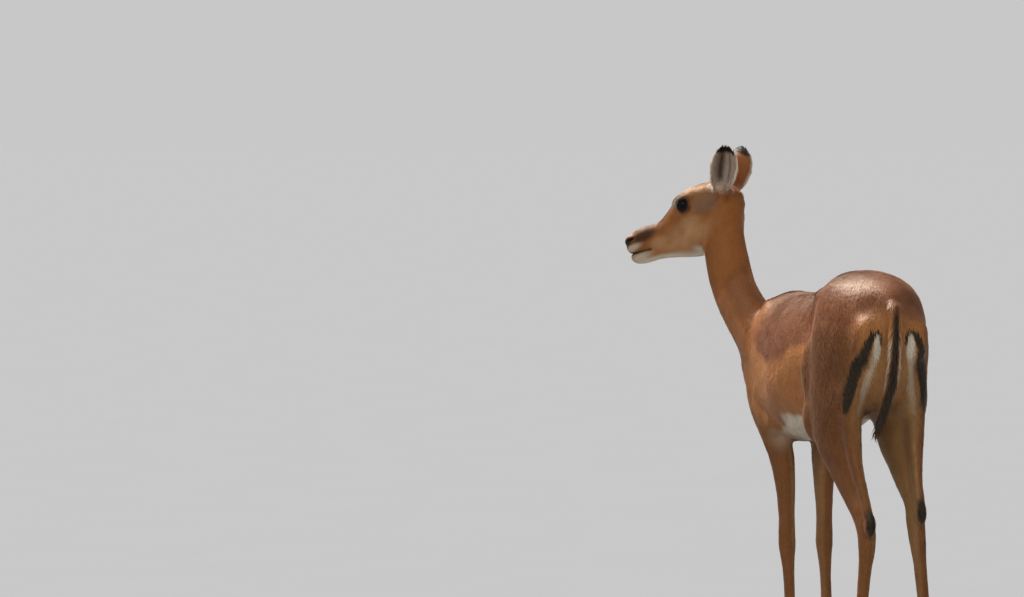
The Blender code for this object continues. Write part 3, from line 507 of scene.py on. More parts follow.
# Patches of the face, in head places: name, centre, radii, edge, strength, colour
FACE_PATCHES = (
    ("crown", (-0.205, 0.0, 0.036), (0.036, 0.024, 0.020), 0.5, 0.60, "nape"),
    # The forehead's pale patch is a painted highlight
    ("forehead highlight", (-0.165, 0.020, 0.036), (0.038, 0.024, 0.018), 0.6, 0.75, "pale"),
    ("behind the eye", (-0.192, 0.040, -0.002), (0.030, 0.020, 0.020), 0.6, 0.60, "grey"),
    ("cheek", (-0.110, 0.036, -0.048), (0.064, 0.030, 0.026), 0.6, 0.50, "pale"),
    ("under the eye", (-0.140, 0.045, -0.022), (0.024, 0.020, 0.010), 0.6, 0.60, "pale"),
    # The brow's pale patch is partly the brow's own pale hair and partly a painted highlight above the eye
    ("brow", (-0.134, 0.033, 0.026), (0.024, 0.016, 0.009), 0.5, 0.75, "lip"),
    # A painted highlight: a pale stripe along the bridge's edge, from before the eye down the muzzle
    ("highlight along the bridge's edge", (-0.100, 0.018, 0.014), (0.034, 0.007, 0.009), 0.6, 0.55, "pale"),
    ("side of the muzzle", (-0.036, 0.024, -0.002), (0.030, 0.016, 0.0125), 0.5, 0.90, "smudge"),
    ("mouth corner", (-0.056, 0.026, -0.030), (0.020, 0.014, 0.010), 0.6, 0.50, "pale"),
    ("upper lip", (-0.001, 0.012, -0.0145), (0.023, 0.020, 0.0068), 0.5, 0.85, "lip"),
    # A painted highlight on top of the nose
    ("highlight over the nose", (-0.010, 0.000, 0.0165), (0.009, 0.012, 0.008), 0.5, 0.45, "pale"),
    ("chin", (-0.006, 0.000, -0.042), (0.030, 0.028, 0.0140), 0.5, 0.90, "lip"),
    ("nose pad", (0.001, 0.0, 0.0015), (0.0150, 0.0260, 0.0085), 0.30, 1.0, "nose"),
    ("nose pad's foot", (0.0105, 0.0, -0.0080), (0.007, 0.0075, 0.011), 0.35, 0.9, "nose"),
)

# Bare skin: the nose pad, round the eyes and over the claws
BARE_NOSE = ((0.001, 0.0, 0.0020), (0.0140, 0.0240, 0.0062), 0.2)
BARE_LID_SPREAD = 1.55
BARE_OVER_CLAWS = 0.0012

# The hair: depths and lengths by height and along the head; widths and lifts are shares of length and depth.
# Underside hair is what is added to length and lift; the ears' is behind and in front.
COAT_DEPTH_BY_HEIGHT = ((0.05, 0.35, 0.50, 0.60), (0.0009, 0.0012, 0.0018, 0.0021))
COAT_DEPTH_ON_HEAD = ((-0.25, -0.12, -0.03, 0.0), (0.0020, 0.0012, 0.0006, 0.0002))
HAIR_BY_HEIGHT = ((0.04, 0.12, 0.40, 0.54), (0.0068, 0.0066, 0.0080, 0.0112))
HAIR_ON_HEAD = ((-0.24, -0.15, -0.08, -0.02, 0.0), (0.0095, 0.0070, 0.0052, 0.0032, 0.0024))
HAIR_WIDTH = 0.125
HAIR_LIFT = 0.95
UNDERSIDE_FACES = (0.3, 0.9)
UNDERSIDE_FROM = (0.44, 0.52)
UNDERSIDE_HAIR = (0.0020, 0.0004)
EAR_HAIR_LENGTHS = (0.0055, 0.0100)
EAR_HAIR_LIFTS = (0.0008, 0.0018)
EAR_HAIR_FACES = (-0.1, 0.4)
EAR_TIP_HAIR = 0.50
EAR_TIP_FROM = (0.70, 0.95)
TAIL_HAIR_LENGTH = 0.022
TAIL_HAIR_WIDTH = 0.0014
TAIL_LIFT_BY_HEIGHT = ((0.71, 0.79), (0.0050, 0.0020))

# How far single tufts differ, by chance and in smooth patches
SWERVE = 0.13
SWERVE_WANDER = 0.16
LENGTHS_VARY = (0.72, 1.28)
WIDTHS_VARY = (0.75, 1.25)
LIFTS_VARY = (0.45, 1.05)
LIFT_WANDER = 0.20
TONES_VARY = 0.16
TONE_WANDER = 0.08

# Smooth wandering numbers: waves added up, and what their sum is divided by
RIPPLE_WAVES = 7
RIPPLE_SPREAD = 2.65

# Tufts: corners are along the length, aside in widths, height in lifts, and lean of the shading
BAKE_MAP = "OFBake"
UNWRAP_ANGLE = math.radians(66.0)
UNWRAP_MARGIN = 0.001
VALUE_KINDS = {1: ("FLOAT", "value"), 3: ("FLOAT_VECTOR", "vector"), 4: ("FLOAT_COLOR", "color")}
COAT_SEED = 11
TUFTS = 280000
TUFTS_PER_PIECE = 39500
TUFT_CORNERS = (
    (0.0, 0.30, 0.0, 0.25),
    (0.0, -0.30, 0.0, -0.25),
    (0.45, 0.50, 0.66, 0.45),
    (0.45, 0.0, 0.70, 0.0),
    (0.45, -0.50, 0.66, -0.45),
    (1.0, 0.0, 0.90, 0.0),
)
TUFT_FACES = ((0, 1, 3), (0, 3, 2), (1, 4, 3), (2, 3, 5), (3, 4, 5))
TUFT_RIDGE = 0.16
TUFT_SINK = 0.0003
TUFT_TIP_LEAN = 0.12
TUFT_PATCH = 0.003
LASHES = 26
LASH_LENGTH = 0.0075
LASH_WIDTH = 0.0006
LASH_TURNS = (0.14 * math.pi, 0.90 * math.pi)
LASH_SPREAD = 1.06
LASH_OVER_EYE = 0.0012
LASH_SWERVE = 0.06
LASHES_VARY = (0.75, 1.1)

# Materials: a gloss is the fur's name and how strongly it shines
BODY_GLOSS = ("fur", 0.66)
FACE_GLOSS = ("face_fur", 0.25)
PUPIL_SQUEEZE = (0.62, 1.25, 0.0)
PUPIL_EDGE = (0.34, 0.95)
PUPIL_BLACK = (0.002, 0.002, 0.002)
IRIS_BROWN = (46, 27, 16)
HORN_BLACK = (28, 22, 19)
LASH_BLACK = (26, 21, 19)

# Claws: levels are shares of the coronet's height; the shape's rows are level, length, width, shift forward
CLAW_TURN = math.radians(5.0)
CLAW_AHEAD = 0.006
CLAW_LEVELS = (0.0, 0.03, 0.10, 0.20, 0.32, 0.45, 0.58, 0.70, 0.80, 0.88, 0.94, 0.98, 1.0)
CLAW_SHAPE = (
    (0.0, 0.006, 0.020, CORONET),
    (1.0, 1.0, 0.86, 0.72),
    (1.0, 1.02, 0.98, 0.93),
    (0.004, 0.001, -0.005, -0.010),
)
CLAW_OUTLINE_POINTS = 33
CLAW_BOW_ANGLES = ((0.0, 1.0), (0.08, 0.92))
CLAW_BOW_POWER = 0.55
CLAW_INNER_LENGTH = 0.92
CLAW_TOP_FROM = (0.84, 1.0)
CLAW_TOP_ROUND = 0.10
CLAW_SOLE_ROUND = 0.03
CLAW_SHARP = math.radians(40.0)

# The CAD nodes that the one skin replaces
FLESH_NODES = ("head", "neck", "trunk", "tail", "ear_left", "ear_right",
               "foreleg_left", "foreleg_right", "hindleg_left", "hindleg_right")

# Floor, lights and camera. A light is name, the way it comes from, breadth, strength and colour.
# The lens is in millimetres; the camera looks past the ewe, aside and down, by shares of the distance.
FLOOR_SPAN = 1200.0
FLOOR_PALE = (127, 128, 130)
SURROUND = 0.66
SURROUND_PALE = (240, 240, 240)
LIGHTS = (
    ("key", (0.9, -1.8, 2.8), math.radians(9.0), 8.0, (1.0, 0.97, 0.93)),
    ("fill", (0.60, 0.62, 0.55), math.radians(26.0), 0.6, (0.97, 0.98, 1.0)),
)
SENSOR_WIDTH = 36.0
LENS_LENGTH = 158.203125
CAMERA_TURN = math.radians(17.5)
CAMERA_AIM = 0.40
CAMERA_HEIGHT = 1.13
CAMERA_DISTANCE = 9.0
CAMERA_ASIDE = 0.084
CAMERA_DOWN = 0.0363333


# ---------------------------------------------------------------- places and directions

def to_world(places):
    """Turns body places (forward, left, up) into Blender's x, y, z."""
    places = np.atleast_2d(np.asarray(places, dtype=float))
    return np.column_stack((places[:, 1], -places[:, 0], places[:, 2]))


def from_world(vectors):
    """Turns Blender's x, y, z into body places; it turns directions too."""
    return np.column_stack((-vectors[:, 1], vectors[:, 0], vectors[:, 2]))


def head_axes():
    """The head's forward, left and up directions, in body places."""
    forward = np.array((
        math.cos(HEAD_YAW) * math.cos(HEAD_PITCH),
        math.sin(HEAD_YAW) * math.cos(HEAD_PITCH),
        math.sin(HEAD_PITCH),
    ))
    left = np.array((-math.sin(HEAD_YAW), math.cos(HEAD_YAW), 0.0))
    return np.array((forward, left, np.cross(forward, left)))


def from_head(places):
    """Turns head places (forward of the nose, left, up) into body places."""
    places = np.atleast_2d(np.asarray(places, dtype=float))
    return np.array(NOSE_PLACE) + HEAD_SCALE * places @ head_axes()


def to_head(places):
    """Turns body places into head places."""
    return (np.atleast_2d(places) - np.array(NOSE_PLACE)) @ head_axes().T / HEAD_SCALE


def mirrored(places, side):
    """Body or head places with their left value turned to the given side."""
    return np.atleast_2d(np.asarray(places, dtype=float)) * (1.0, side, 1.0)


def folded(places):
    """Places with both sides laid over the left one."""
    return np.column_stack((places[:, 0], np.abs(places[:, 1]), places[:, 2]))


def unit(vectors):
    length = np.linalg.norm(vectors, axis=-1, keepdims=True)
    return vectors / np.maximum(length, 1e-9)


def mixed(first, second, share):
    """The first where share is 0, the second where it is 1."""
    return first * (1 - share) + second * share


def rise(values, start, end):
    """Smoothly from 0 at start to 1 at end."""
    share = np.clip((values - start) / (end - start), 0.0, 1.0)
    return share * share * (3.0 - 2.0 * share)


def blob(places, centre, radii, edge=0.35):
    """1 inside an ellipsoid, falling to 0 across its edge."""
    distance = np.linalg.norm((places - np.array(centre)) / np.array(radii), axis=1)
    return 1.0 - rise(distance, 1.0 - edge, 1.0 + edge)


def ripple(places, size, seed):
    """A smooth wandering number about 0, whose bumps are about size across."""
    random = np.random.default_rng(seed)
    total = np.zeros(len(places))
    for _ in range(RIPPLE_WAVES):
        wave = unit(random.normal(size=3)) * random.uniform(0.7, 1.5) * math.pi / size
        total += np.sin(places @ wave + random.uniform(0, 2 * math.pi))
    return total / RIPPLE_SPREAD


def along_path(places, path):
    """Distance of each place from a broken line, and the share of the line's length at its nearest point."""
    path = np.asarray(path, dtype=float)
    lengths = np.linalg.norm(np.diff(path, axis=0), axis=1)
    starts = np.concatenate(([0.0], np.cumsum(lengths)))
    nearest = np.full(len(places), np.inf)
    share = np.zeros(len(places))
    for start, end, length, before in zip(path[:-1], path[1:], lengths, starts):
        t = np.clip((places - start) @ (end - start) / length ** 2, 0.0, 1.0)
        distance = np.linalg.norm(places - start - t[:, None] * (end - start), axis=1)
        closer = distance < nearest
        nearest[closer] = distance[closer]
        share[closer] = ((before + t * length) / starts[-1])[closer]
    return nearest, share


def row_shift():
    """What part.py took off every point to stand the ewe on the origin, told from the left eye's place."""
    low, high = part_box("eye_left")
    middle = (np.array(low) + np.array(high)) / 2
    return to_world(from_head(EYE_PLACE))[0] - middle


SHIFT = row_shift()


def to_row(places):
    """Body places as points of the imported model's frame."""
    return to_world(places) - SHIFT


def from_row(points):
    """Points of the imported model's frame as body places."""
    return from_world(np.atleast_2d(points) + SHIFT)


# ---------------------------------------------------------------- shells of the flesh

def spline(rows, spacing):
    """A Catmull-Rom curve through rows of numbers, whose first three are the place along the curve."""
    rows = np.asarray(rows, dtype=float)
    padded = np.vstack((2 * rows[0] - rows[1], rows, 2 * rows[-1] - rows[-2]))
    out = []
    for i in range(len(rows) - 1):
        before, start, end, after = padded[i:i + 4]
        steps = max(1, round(float(np.linalg.norm(end[:3] - start[:3])) / spacing))
        for t in np.arange(steps) / steps:
            out.append(0.5 * (
                2 * start
                + (end - before) * t
                + (2 * before - 5 * start + 4 * end - after) * t ** 2
                + (3 * start - before - 3 * end + after) * t ** 3
            ))
    out.append(rows[-1])
    return np.array(out)


def ring_angles(count):
    return np.arange(count) * 2 * math.pi / count


def power_ring(square, angles):
    """Cosines and sines of a ring's angles, squared off by a superellipse's power."""
    cosine, sine = np.cos(angles), np.sin(angles)
    bend = 2.0 / square
    return np.sign(cosine) * np.abs(cosine) ** bend, np.sign(sine) * np.abs(sine) ** bend


def strip_faces(rings, count):
    """Faces that join each closed ring of points to the next."""
    faces = []
    for i in range(rings - 1):
        for j in range(count):
            k = (j + 1) % count
            faces.append((i * count + j, i * count + k, (i + 1) * count + k, (i + 1) * count + j))
    return faces


def tube_faces(rings, count):
    """Faces of rings that are closed at both ends by a point; the two points come after the rings."""
    faces = strip_faces(rings, count)
    end = (rings - 1) * count
    for j in range(count):
        k = (j + 1) % count
        faces.append((rings * count, k, j))
        faces.append((rings * count + 1, end + j, end + k))
    return faces


def loft(centres, across, ahead, half_side, fore, aft, square, count=RING_POINTS):
    """A closed tube of rings: half_side along across, fore and aft along ahead."""
    angles = ring_angles(count)
    points = []
    for i, centre in enumerate(centres):
        side_part, ahead_part = power_ring(square[i], angles)
        reach = np.where(ahead_part > 0, fore[i], aft[i])
        ring = centre + np.outer(side_part * half_side[i], across[i]) + np.outer(ahead_part * reach, ahead[i])
        points.append(ring)
    return np.vstack(points + [centres[:1], centres[-1:]]), tube_faces(len(centres), count)


def tangents(centres):
    return unit(np.gradient(centres, axis=0))


def limb_loft(rows, turn=None, spacing=RING_SPACING, count=RING_POINTS):
    """A tube whose fore side faces forward, or is turned left by the degrees in column turn."""
    dense = spline(rows, spacing)
    centres = dense[:, :3]
    along = tangents(centres)
    angle = np.radians(dense[:, turn]) if turn else np.zeros(len(dense))
    forward = np.column_stack((np.cos(angle), np.sin(angle), np.zeros(len(dense))))
    across = unit(np.cross(along, forward))
    ahead = np.cross(across, along)
    round_section = np.full(len(dense), 2.0)
    return loft(centres, across, ahead, dense[:, 3], dense[:, 4], dense[:, 5], round_section, count)


def level_loft(rows):
    """A tube along forward: forward, left, top, widest level, bottom, half width, squareness."""
    rows = np.asarray(rows, dtype=float)
    dense = spline(rows[:, (0, 1, 3, 2, 4, 5, 6)], RING_SPACING)
    centres = dense[:, :3]
    top, bottom, half_width, square = dense[:, 3:].T
    across = np.tile((0.0, 1.0, 0.0), (len(dense), 1))
    ahead = np.tile((0.0, 0.0, 1.0), (len(dense), 1))
    return loft(centres, across, ahead, half_width, top - centres[:, 2], centres[:, 2] - bottom, square)


def ellipsoid(place, radii, count=BALL_POINTS):
    """A closed ball, squeezed to three radii, with its rings round forward."""
    turn = np.linspace(*BALL_SPAN, count // 2)
    centres = np.array([place]) + np.outer(-np.cos(turn) * radii[0], (1.0, 0.0, 0.0))
    across = np.tile((0.0, 1.0, 0.0), (len(turn), 1))
    ahead = np.tile((0.0, 0.0, 1.0), (len(turn), 1))
    side, high = np.sin(turn) * radii[1], np.sin(turn) * radii[2]
    return loft(centres, across, ahead, side, high, high, np.full(len(turn), 2.0), count)


def swung(rows, limb, foot, below, hock_lift=0.0):
    """Rows of a limb led to where its foot stands; the shift grows from nothing at the height below."""
    rows = np.array(rows, dtype=float)
    share = np.clip((below - rows[:, 2]) / below, 0.0, 1.0)
    rows[:, 0] += share * (foot[0] - limb[-1][0])
    rows[:, 1] += share * (abs(foot[1]) - limb[-1][1])
    rows[:, 2] += hock_lift * np.exp(-((rows[:, 2] - HOCK_HEIGHT) / HOCK_REACH) ** 2)
    return rows


def swings(side_name):
    """What leads the fore limb and the hind limb of one side to where their feet stand."""
    fore = (FORELIMB, FOREFOOT[side_name], FORELIMB_SWINGS_BELOW)
    hind = (HINDLIMB, HINDFOOT[side_name], HINDLIMB_SWINGS_BELOW, HOCK_LIFT[side_name])
    return fore, hind


def limb_shells(side_name):
    """The limbs' shells on one side, as if it were the left, with the body's bulges."""
    fore, hind = swings(side_name)
    shells = [limb_loft(swung(*rows)) for rows in ((FORELIMB, *fore), (HINDLIMB, *hind), (ACHILLES, *hind))]
    for name, place, radii in BODY_BULGES:
        shells.append(ellipsoid(swung([place], *hind)[0] if name == "hock point" else place, radii))
    return shells


def flesh_shells():
    """Every shell of the body, in body places, before they are fused."""
    shells = [level_loft(TRUNK), limb_loft(NECK, turn=6)]
    for side_name, side in SIDES.items():
        for points, faces in limb_shells(side_name):
            shells.append((mirrored(points, side), faces))
        for _, place, radii in HEAD_BULGES:
            points, faces = ellipsoid(place, radii)
            shells.append((from_head(mirrored(points, side)), faces))
    for rows, square in ((SKULL, SKULL_SQUARENESS), (JAW, JAW_SQUARENESS)):
        points, faces = level_loft([(forward, 0.0, *levels, square) for forward, *levels in rows])
        shells.append((from_head(points), faces))
    return shells


# ---------------------------------------------------------------- meshes

def read_off(items, name, width=3, kind=float):
    """One value of each item of a mesh, as rows so many numbers wide."""
    values = np.empty(len(items) * width, dtype=kind)
    items.foreach_get(name, values)
    return values.reshape(-1, width)


def mesh_points(mesh):
    return read_off(mesh.vertices, "co")


def places_and_normals(mesh):
    """A mesh's points and the ways that they face, in body places."""
    return from_row(mesh_points(mesh)), from_world(read_off(mesh.vertex_normals, "vector"))


def set_places(mesh, places):
    mesh.vertices.foreach_set("co", to_row(places).astype(np.float32).ravel())
    mesh.update()


def write_values(mesh, name, values):
    """Keeps a number, a direction or a colour for each of the mesh's points."""
    values = np.asarray(values, dtype=np.float32)
    kind, key = VALUE_KINDS[values[0].size]
    mesh.attributes.new(name, kind, "POINT").data.foreach_set(key, values.ravel())


def write_colours(mesh, colours):
    write_values(mesh, "coat", np.column_stack((colours, np.ones(len(colours)))))


def object_from(name, points, faces):
    """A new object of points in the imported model's frame."""
    mesh = bpy.data.meshes.new(name)
    mesh.from_pydata([tuple(p) for p in points], [], [tuple(f) for f in faces])
    mesh.update()
    item = bpy.data.objects.new(name, mesh)
    bpy.context.collection.objects.link(item)
    return item


def smooth_object(name, places, faces):
    """A smoothly shaded object of body places, whose faces face away from its middle."""
    item = object_from(name, to_row(places), faces)
    mesh = item.data
    outward = read_off(mesh.polygons, "center") - mesh_points(mesh).mean(axis=0)
    if (outward * read_off(mesh.polygons, "normal")).sum() < 0:
        mesh.flip_normals()
    mesh.shade_smooth()
    return item


def triangle_mesh(name, places, faces):
    """A mesh of body places whose faces are rows of three corners, filled in at once."""
    mesh = bpy.data.meshes.new(name)
    mesh.vertices.add(len(places))
    mesh.vertices.foreach_set("co", to_row(places).astype(np.float32).ravel())
    mesh.loops.add(faces.size)
    mesh.loops.foreach_set("vertex_index", faces.astype(np.int32).ravel())
    mesh.polygons.add(len(faces))
    mesh.polygons.foreach_set("loop_start", np.arange(0, faces.size, 3, dtype=np.int32))
    mesh.update(calc_edges=True)
    return mesh


def applied(item):
    """Replaces the object's mesh with what its modifiers make of it."""
    graph = bpy.context.evaluated_depsgraph_get()
    mesh = bpy.data.meshes.new_from_object(item.evaluated_get(graph))
    item.modifiers.clear()
    item.data = mesh
    return item


def smoothed(points, edges, soft, voxel):
    """Laplacian smoothing whose reach in metres doesn't change with the mesh's fineness."""
    # Each round pulls a point at most halfway to its neighbours' mean, which keeps it steady
    rounds = math.ceil(4.0 * float((soft / voxel).max()) ** 2)
    pull = (2.0 * (soft / voxel) ** 2 / rounds)[:, None]
    start, end = edges[:, 0], edges[:, 1]
    count = len(points)
    valence = np.bincount(edges.ravel(), minlength=count)[:, None]
    for _ in range(rounds):
        total = np.empty_like(points)
        for axis in range(3):
            total[:, axis] = np.bincount(start, weights=points[end, axis], minlength=count)
            total[:, axis] += np.bincount(end, weights=points[start, axis], minlength=count)
        points = points + pull * (total / valence - points)
    return points


# ---------------------------------------------------------------- ears

def ear_frame(side_name):
    """An ear's base place and its up, opening and side directions, in body places."""
    side = SIDES[side_name]
    base = from_head(mirrored(EAR_PLACE, side))[0]
    up = unit(mirrored(EAR_LEAN[side_name], side)[0] @ head_axes())
    opening = mirrored(EAR_OPENING[side_name], side)[0] @ head_axes()
    opening = unit(opening - up * opening.dot(up))
    return base, up, opening, np.cross(up, opening)


def ear_section(share):
    """The ear's half width, wrap angle and backward bow at a share of its length."""
    half_width = np.interp(share, *EAR_WIDTHS)
    wrap = math.radians(np.interp(share, *EAR_WRAPS))
    bow = EAR_BOW * math.sin(math.pi * share)
    return half_width, wrap, bow


def ear_shell(side_name):
    """The ear's flesh: a cupped sheet, thicker at its root, inside the hair's outline."""
    base, up, opening, across = ear_frame(side_name)
    loops = []
    for share in np.linspace(EAR_FLESH_ROOT, EAR_FLESH_TIP, EAR_RINGS):
        half_width, wrap, bow = ear_section(max(share, 0.0))
        radius = half_width / math.sin(min(wrap, math.pi / 2))
        centre = base + up * share * EAR_LENGTH + opening * (radius * EAR_CUP - bow - EAR_SET_BACK)
        wall = np.interp(share, *EAR_WALLS)
        turn = np.linspace(-wrap, wrap, EAR_ARC_POINTS)[:, None] * EAR_FLESH_WRAP
        arc = -np.cos(turn) * opening + np.sin(turn) * across
        outer = radius - EAR_HAIR
        loops.append(np.vstack((centre + arc * outer, centre + arc[::-1] * (outer - wall))))
    count = len(loops[0])
    faces = strip_faces(len(loops), count)
    for start in (0, (len(loops) - 1) * count):
        for j in range(count // 2 - 1):
            faces.append(tuple(start + i for i in (j, j + 1, count - 2 - j, count - 1 - j)))
    return np.vstack(loops), faces


def ear_shares(places, side_name):
    """How far up an ear each place is, as a share of its length, and how surely it belongs to that ear."""
    base, up, opening, across = ear_frame(side_name)
    offset = places - base
    share = offset @ up / EAR_LENGTH
    width = np.interp(share, *EAR_REACH)
    reach = np.hypot(offset @ across, offset @ opening)
    inside = (1.0 - rise(reach, width, width + EAR_REACH_FADE)) * rise(share, *EAR_FROM) * (share < EAR_TO)
    return share, inside


# ---------------------------------------------------------------- eyes, lids and lashes

def eye_frame(side_name):
    """The eyeball's middle and its gaze, fore and high directions, in body places."""
    side = SIDES[side_name]
    centre = from_head(mirrored(EYE_PLACE, side))[0]
    gaze = unit(mirrored(EYE_GAZE, side)[0] @ head_axes())
    fore = mirrored(EYE_FORE, side)[0] @ head_axes()
    fore = unit(fore - gaze * fore.dot(gaze))
    high = np.cross(gaze, fore) * side
    return centre, gaze, fore, high * np.sign(high[2])


def seen_from_eye(places, side_name):
    """Each place's distance from the eyeball's middle, how far ahead it is, and its spread."""
    centre, gaze, fore, high = eye_frame(side_name)
    offset = places - centre
    distance = np.linalg.norm(offset, axis=1)
    ray = offset / distance[:, None]
    ahead = np.maximum(ray @ gaze, 1e-3)
    long = ray @ fore / ahead / math.tan(EYE_HALF_LONG)
    tall = ray @ high / ahead / math.tan(EYE_HALF_TALL) + OPENING_SLANT * long
    spread = (np.abs(long) ** OPENING_POWER + np.abs(tall) ** OPENING_POWER) ** (1 / OPENING_POWER)
    return distance, offset @ gaze, spread


def opening_rays(angles, spread, side_name):
    """Ways from the eyeball's middle to points round its opening, with the opening grown so many times."""
    _, gaze, fore, high = eye_frame(side_name)
    long, tall = power_ring(OPENING_POWER, angles)
    tall = tall - OPENING_SLANT * long
    return unit(
        gaze
        + np.outer(long * spread * math.tan(EYE_HALF_LONG), fore)
        + np.outer(tall * spread * math.tan(EYE_HALF_TALL), high)
    )


def eye_radius(angle):
    """The eyeball's radius at an angle off the gaze, with the cornea's bulge in front."""
    return EYE_RADIUS - EYE_INSET + CORNEA_BULGE * math.exp(-(angle / CORNEA_REACH) ** 2)


def eyeball(centre, gaze, fore, high):
    """Rings of points round the gaze, then the two points that close them in front and behind."""
    points = []
    for angle in np.linspace(0.0, math.pi, EYE_RINGS + 2)[1:-1]:
        for turn in ring_angles(EYE_POINTS):
            way = gaze * math.cos(angle) + (fore * math.cos(turn) + high * math.sin(turn)) * math.sin(angle)
            points.append(centre + way * eye_radius(angle))
    points.append(centre + gaze * eye_radius(0.0))
    points.append(centre - gaze * eye_radius(math.pi))
    return np.array(points), tube_faces(EYE_RINGS, EYE_POINTS)


def make_eyes():
    """Smooth wet eyeballs, whose points know where they lie along fore, high and gaze, in eye radii."""
    material = eye_material()
    for side_name in SIDES:
        centre, gaze, fore, high = eye_frame(side_name)
        points, faces = eyeball(centre, gaze, fore, high)
        item = smooth_object(f"eyeball_{side_name}", points, faces)
        offset = (points - centre) / EYE_RADIUS
        write_values(item.data, "eye_place", np.column_stack((offset @ fore, offset @ high, offset @ gaze)))
        item.data.materials.append(material)
        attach(item, "root")
        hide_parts(f"eye_{side_name}")


def lid_rings(side_name):
    """Rings of places round the eye's opening, from under the lid's margin out to under the skin."""
    centre = eye_frame(side_name)[0]
    angles = ring_angles(LID_POINTS)
    upper = np.clip(np.sin(angles), 0.0, 1.0)
    loops = []
    for spread, height in LID_PROFILE:
        fold = LID_FOLD * upper * math.exp(-((spread - LID_FOLD_SPREAD) / LID_FOLD_REACH) ** 2)
        over = EYE_RADIUS + height * (1.0 + UPPER_LID_SWELL * upper) - fold
        loops.append(centre + opening_rays(angles, spread, side_name) * over[:, None])
    return loops


def make_lids():
    """The dark lids: a smooth roll of skin round each eye's opening."""
    faces = strip_faces(len(LID_PROFILE), LID_POINTS)
    return [smooth_object(f"lids_{name}", np.vstack(lid_rings(name)), faces) for name in SIDES]


def make_lashes():
    """A row of curved black lashes on each upper lid."""
    lashes = []
    random = np.random.default_rng(COAT_SEED + 1)
    turns = np.linspace(*LASH_TURNS, LASHES)
    for side_name in SIDES:
        centre, gaze, _, high = eye_frame(side_name)
        points, faces = [], []
        for way in opening_rays(turns, LASH_SPREAD, side_name):
            root = centre + way * (EYE_RADIUS + LASH_OVER_EYE)
            out = unit(way + 0.5 * gaze + 0.25 * high + LASH_SWERVE * random.normal(size=3))
            aside = unit(np.cross(way, high)) * LASH_WIDTH / 2
            size = LASH_LENGTH * random.uniform(*LASHES_VARY)
            middle = root + out * size * 0.5
            tip = root + out * size * 0.9 + high * size * 0.35
            first = len(points)
            points += [root - aside, root + aside, middle + aside * 0.8, middle - aside * 0.8, tip]
            faces += [(first, first + 1, first + 2, first + 3), (first + 3, first + 2, first + 4)]
        lashes.append(object_from(f"lashes_{side_name}", to_row(np.array(points)), faces))
    return lashes


# ---------------------------------------------------------------- the skin's shape

def head_share(places):
    """1 on the head, falling to 0 down the neck."""
    distance = np.linalg.norm(places - from_head(HEAD_MIDDLE), axis=1)
    return np.interp(distance, HEAD_ENDS, (1.0, 0.0))


def neck_share(places):
    """1 on the neck's flesh, falling to 0 towards the trunk."""
    distance, share = along_path(places, np.array(NECK)[:, :3])
    return (1 - rise(distance, *NECK_REACH)) * rise(share, *NECK_SHARE_FROM)


def tail_share(places):
    """1 on the tail's core, falling to 0 off it."""
    distance, share = along_path(places, np.array(TAIL)[:, :3])
    return (1 - rise(distance, *TAIL_REACH)) * rise(share, *TAIL_FROM)


def softness(places):
    """How far the fused body is smoothed at each place, in metres."""
    forward, up = places[:, 0], places[:, 2]
    on_neck = np.interp(up, NECK_FROM_UP, (0.0, 1.0)) * np.interp(forward, NECK_FROM, (0.0, 1.0))
    soft = mixed(np.interp(up, *SOFTNESS_BY_HEIGHT), NECK_SOFTNESS, on_neck)
    soft = mixed(soft, np.interp(to_head(places)[:, 0], *HEAD_SOFTNESS), head_share(places))
    for side_name in SIDES:
        soft = mixed(soft, EAR_SOFTNESS, ear_shares(places, side_name)[1])
    return soft


def press_depth(places, presses):
    """How far the presses push the surface in at each place, on both sides; what they swell is below 0."""
    push = np.zeros(len(places))
    for _, place, reach, depth in presses:
        for side in SIDES.values():
            distance = np.linalg.norm(places - mirrored(place, side), axis=1)
            share = depth * np.exp(-(distance / reach) ** 2)
            push += share if place[1] else share / 2
    return push


def face_depth(places):
    """How far nostrils, mouth line, lips, chin and the hollow before the eye go into the head."""
    head = to_head(places)
    push = press_depth(head, FACE_PRESSES)
    for side in SIDES.values():
        for _, path, reach, depth in FACE_LINES:
            distance, share = along_path(head * FACE_LINE_VIEW, mirrored(path, side) * FACE_LINE_VIEW)
            middle = np.sin(math.pi * np.interp(share, *FACE_LINE_TAPER))
            push += depth * np.exp(-(distance / reach) ** 2) * mixed(FACE_LINE_ENDS, 1.0, middle)
    return push


def coat_depth(places):
    """How far the hair tips stand over the skin; the ears' and tail's flesh is already inside its hair."""
    depth = np.interp(places[:, 2], *COAT_DEPTH_BY_HEIGHT)
    depth = mixed(depth, np.interp(to_head(places)[:, 0], *COAT_DEPTH_ON_HEAD), head_share(places))
    for side_name in SIDES:
        depth = depth * (1 - ear_shares(places, side_name)[1])
    return depth


def around_eyes(places):
    """Raises the skin over each eyeball as its lids' base and opens it where the eye shows."""
    places = places.copy()
    for side_name in SIDES:
        centre = eye_frame(side_name)[0]
        distance, ahead, spread = seen_from_eye(places, side_name)
        near = np.flatnonzero((distance < EYE_REGION) & (ahead > EYE_RIM_AHEAD))
        distance, spread = distance[near], spread[near]
        over = EYE_RADIUS + np.interp(spread, *SKIN_OVER_EYE)
        new = np.where(spread < LID_SPREAD, over, np.maximum(distance, over))
        places[near] = centre + (places[near] - centre) / distance[:, None] * new[:, None]
    return places


def magnified(places, back=False):
    """Spreads places out from the head's middle, for finer faces there, or takes them back."""
    middle = from_head(HEAD_MIDDLE)[0]
    offset = places - middle
    distance = np.linalg.norm(offset, axis=1)
    plain, spread = HEAD_MAGNIFY
    new = np.interp(distance, spread, plain) if back else np.interp(distance, plain, spread)
    return middle + offset * (new / np.maximum(distance, 1e-9))[:, None]


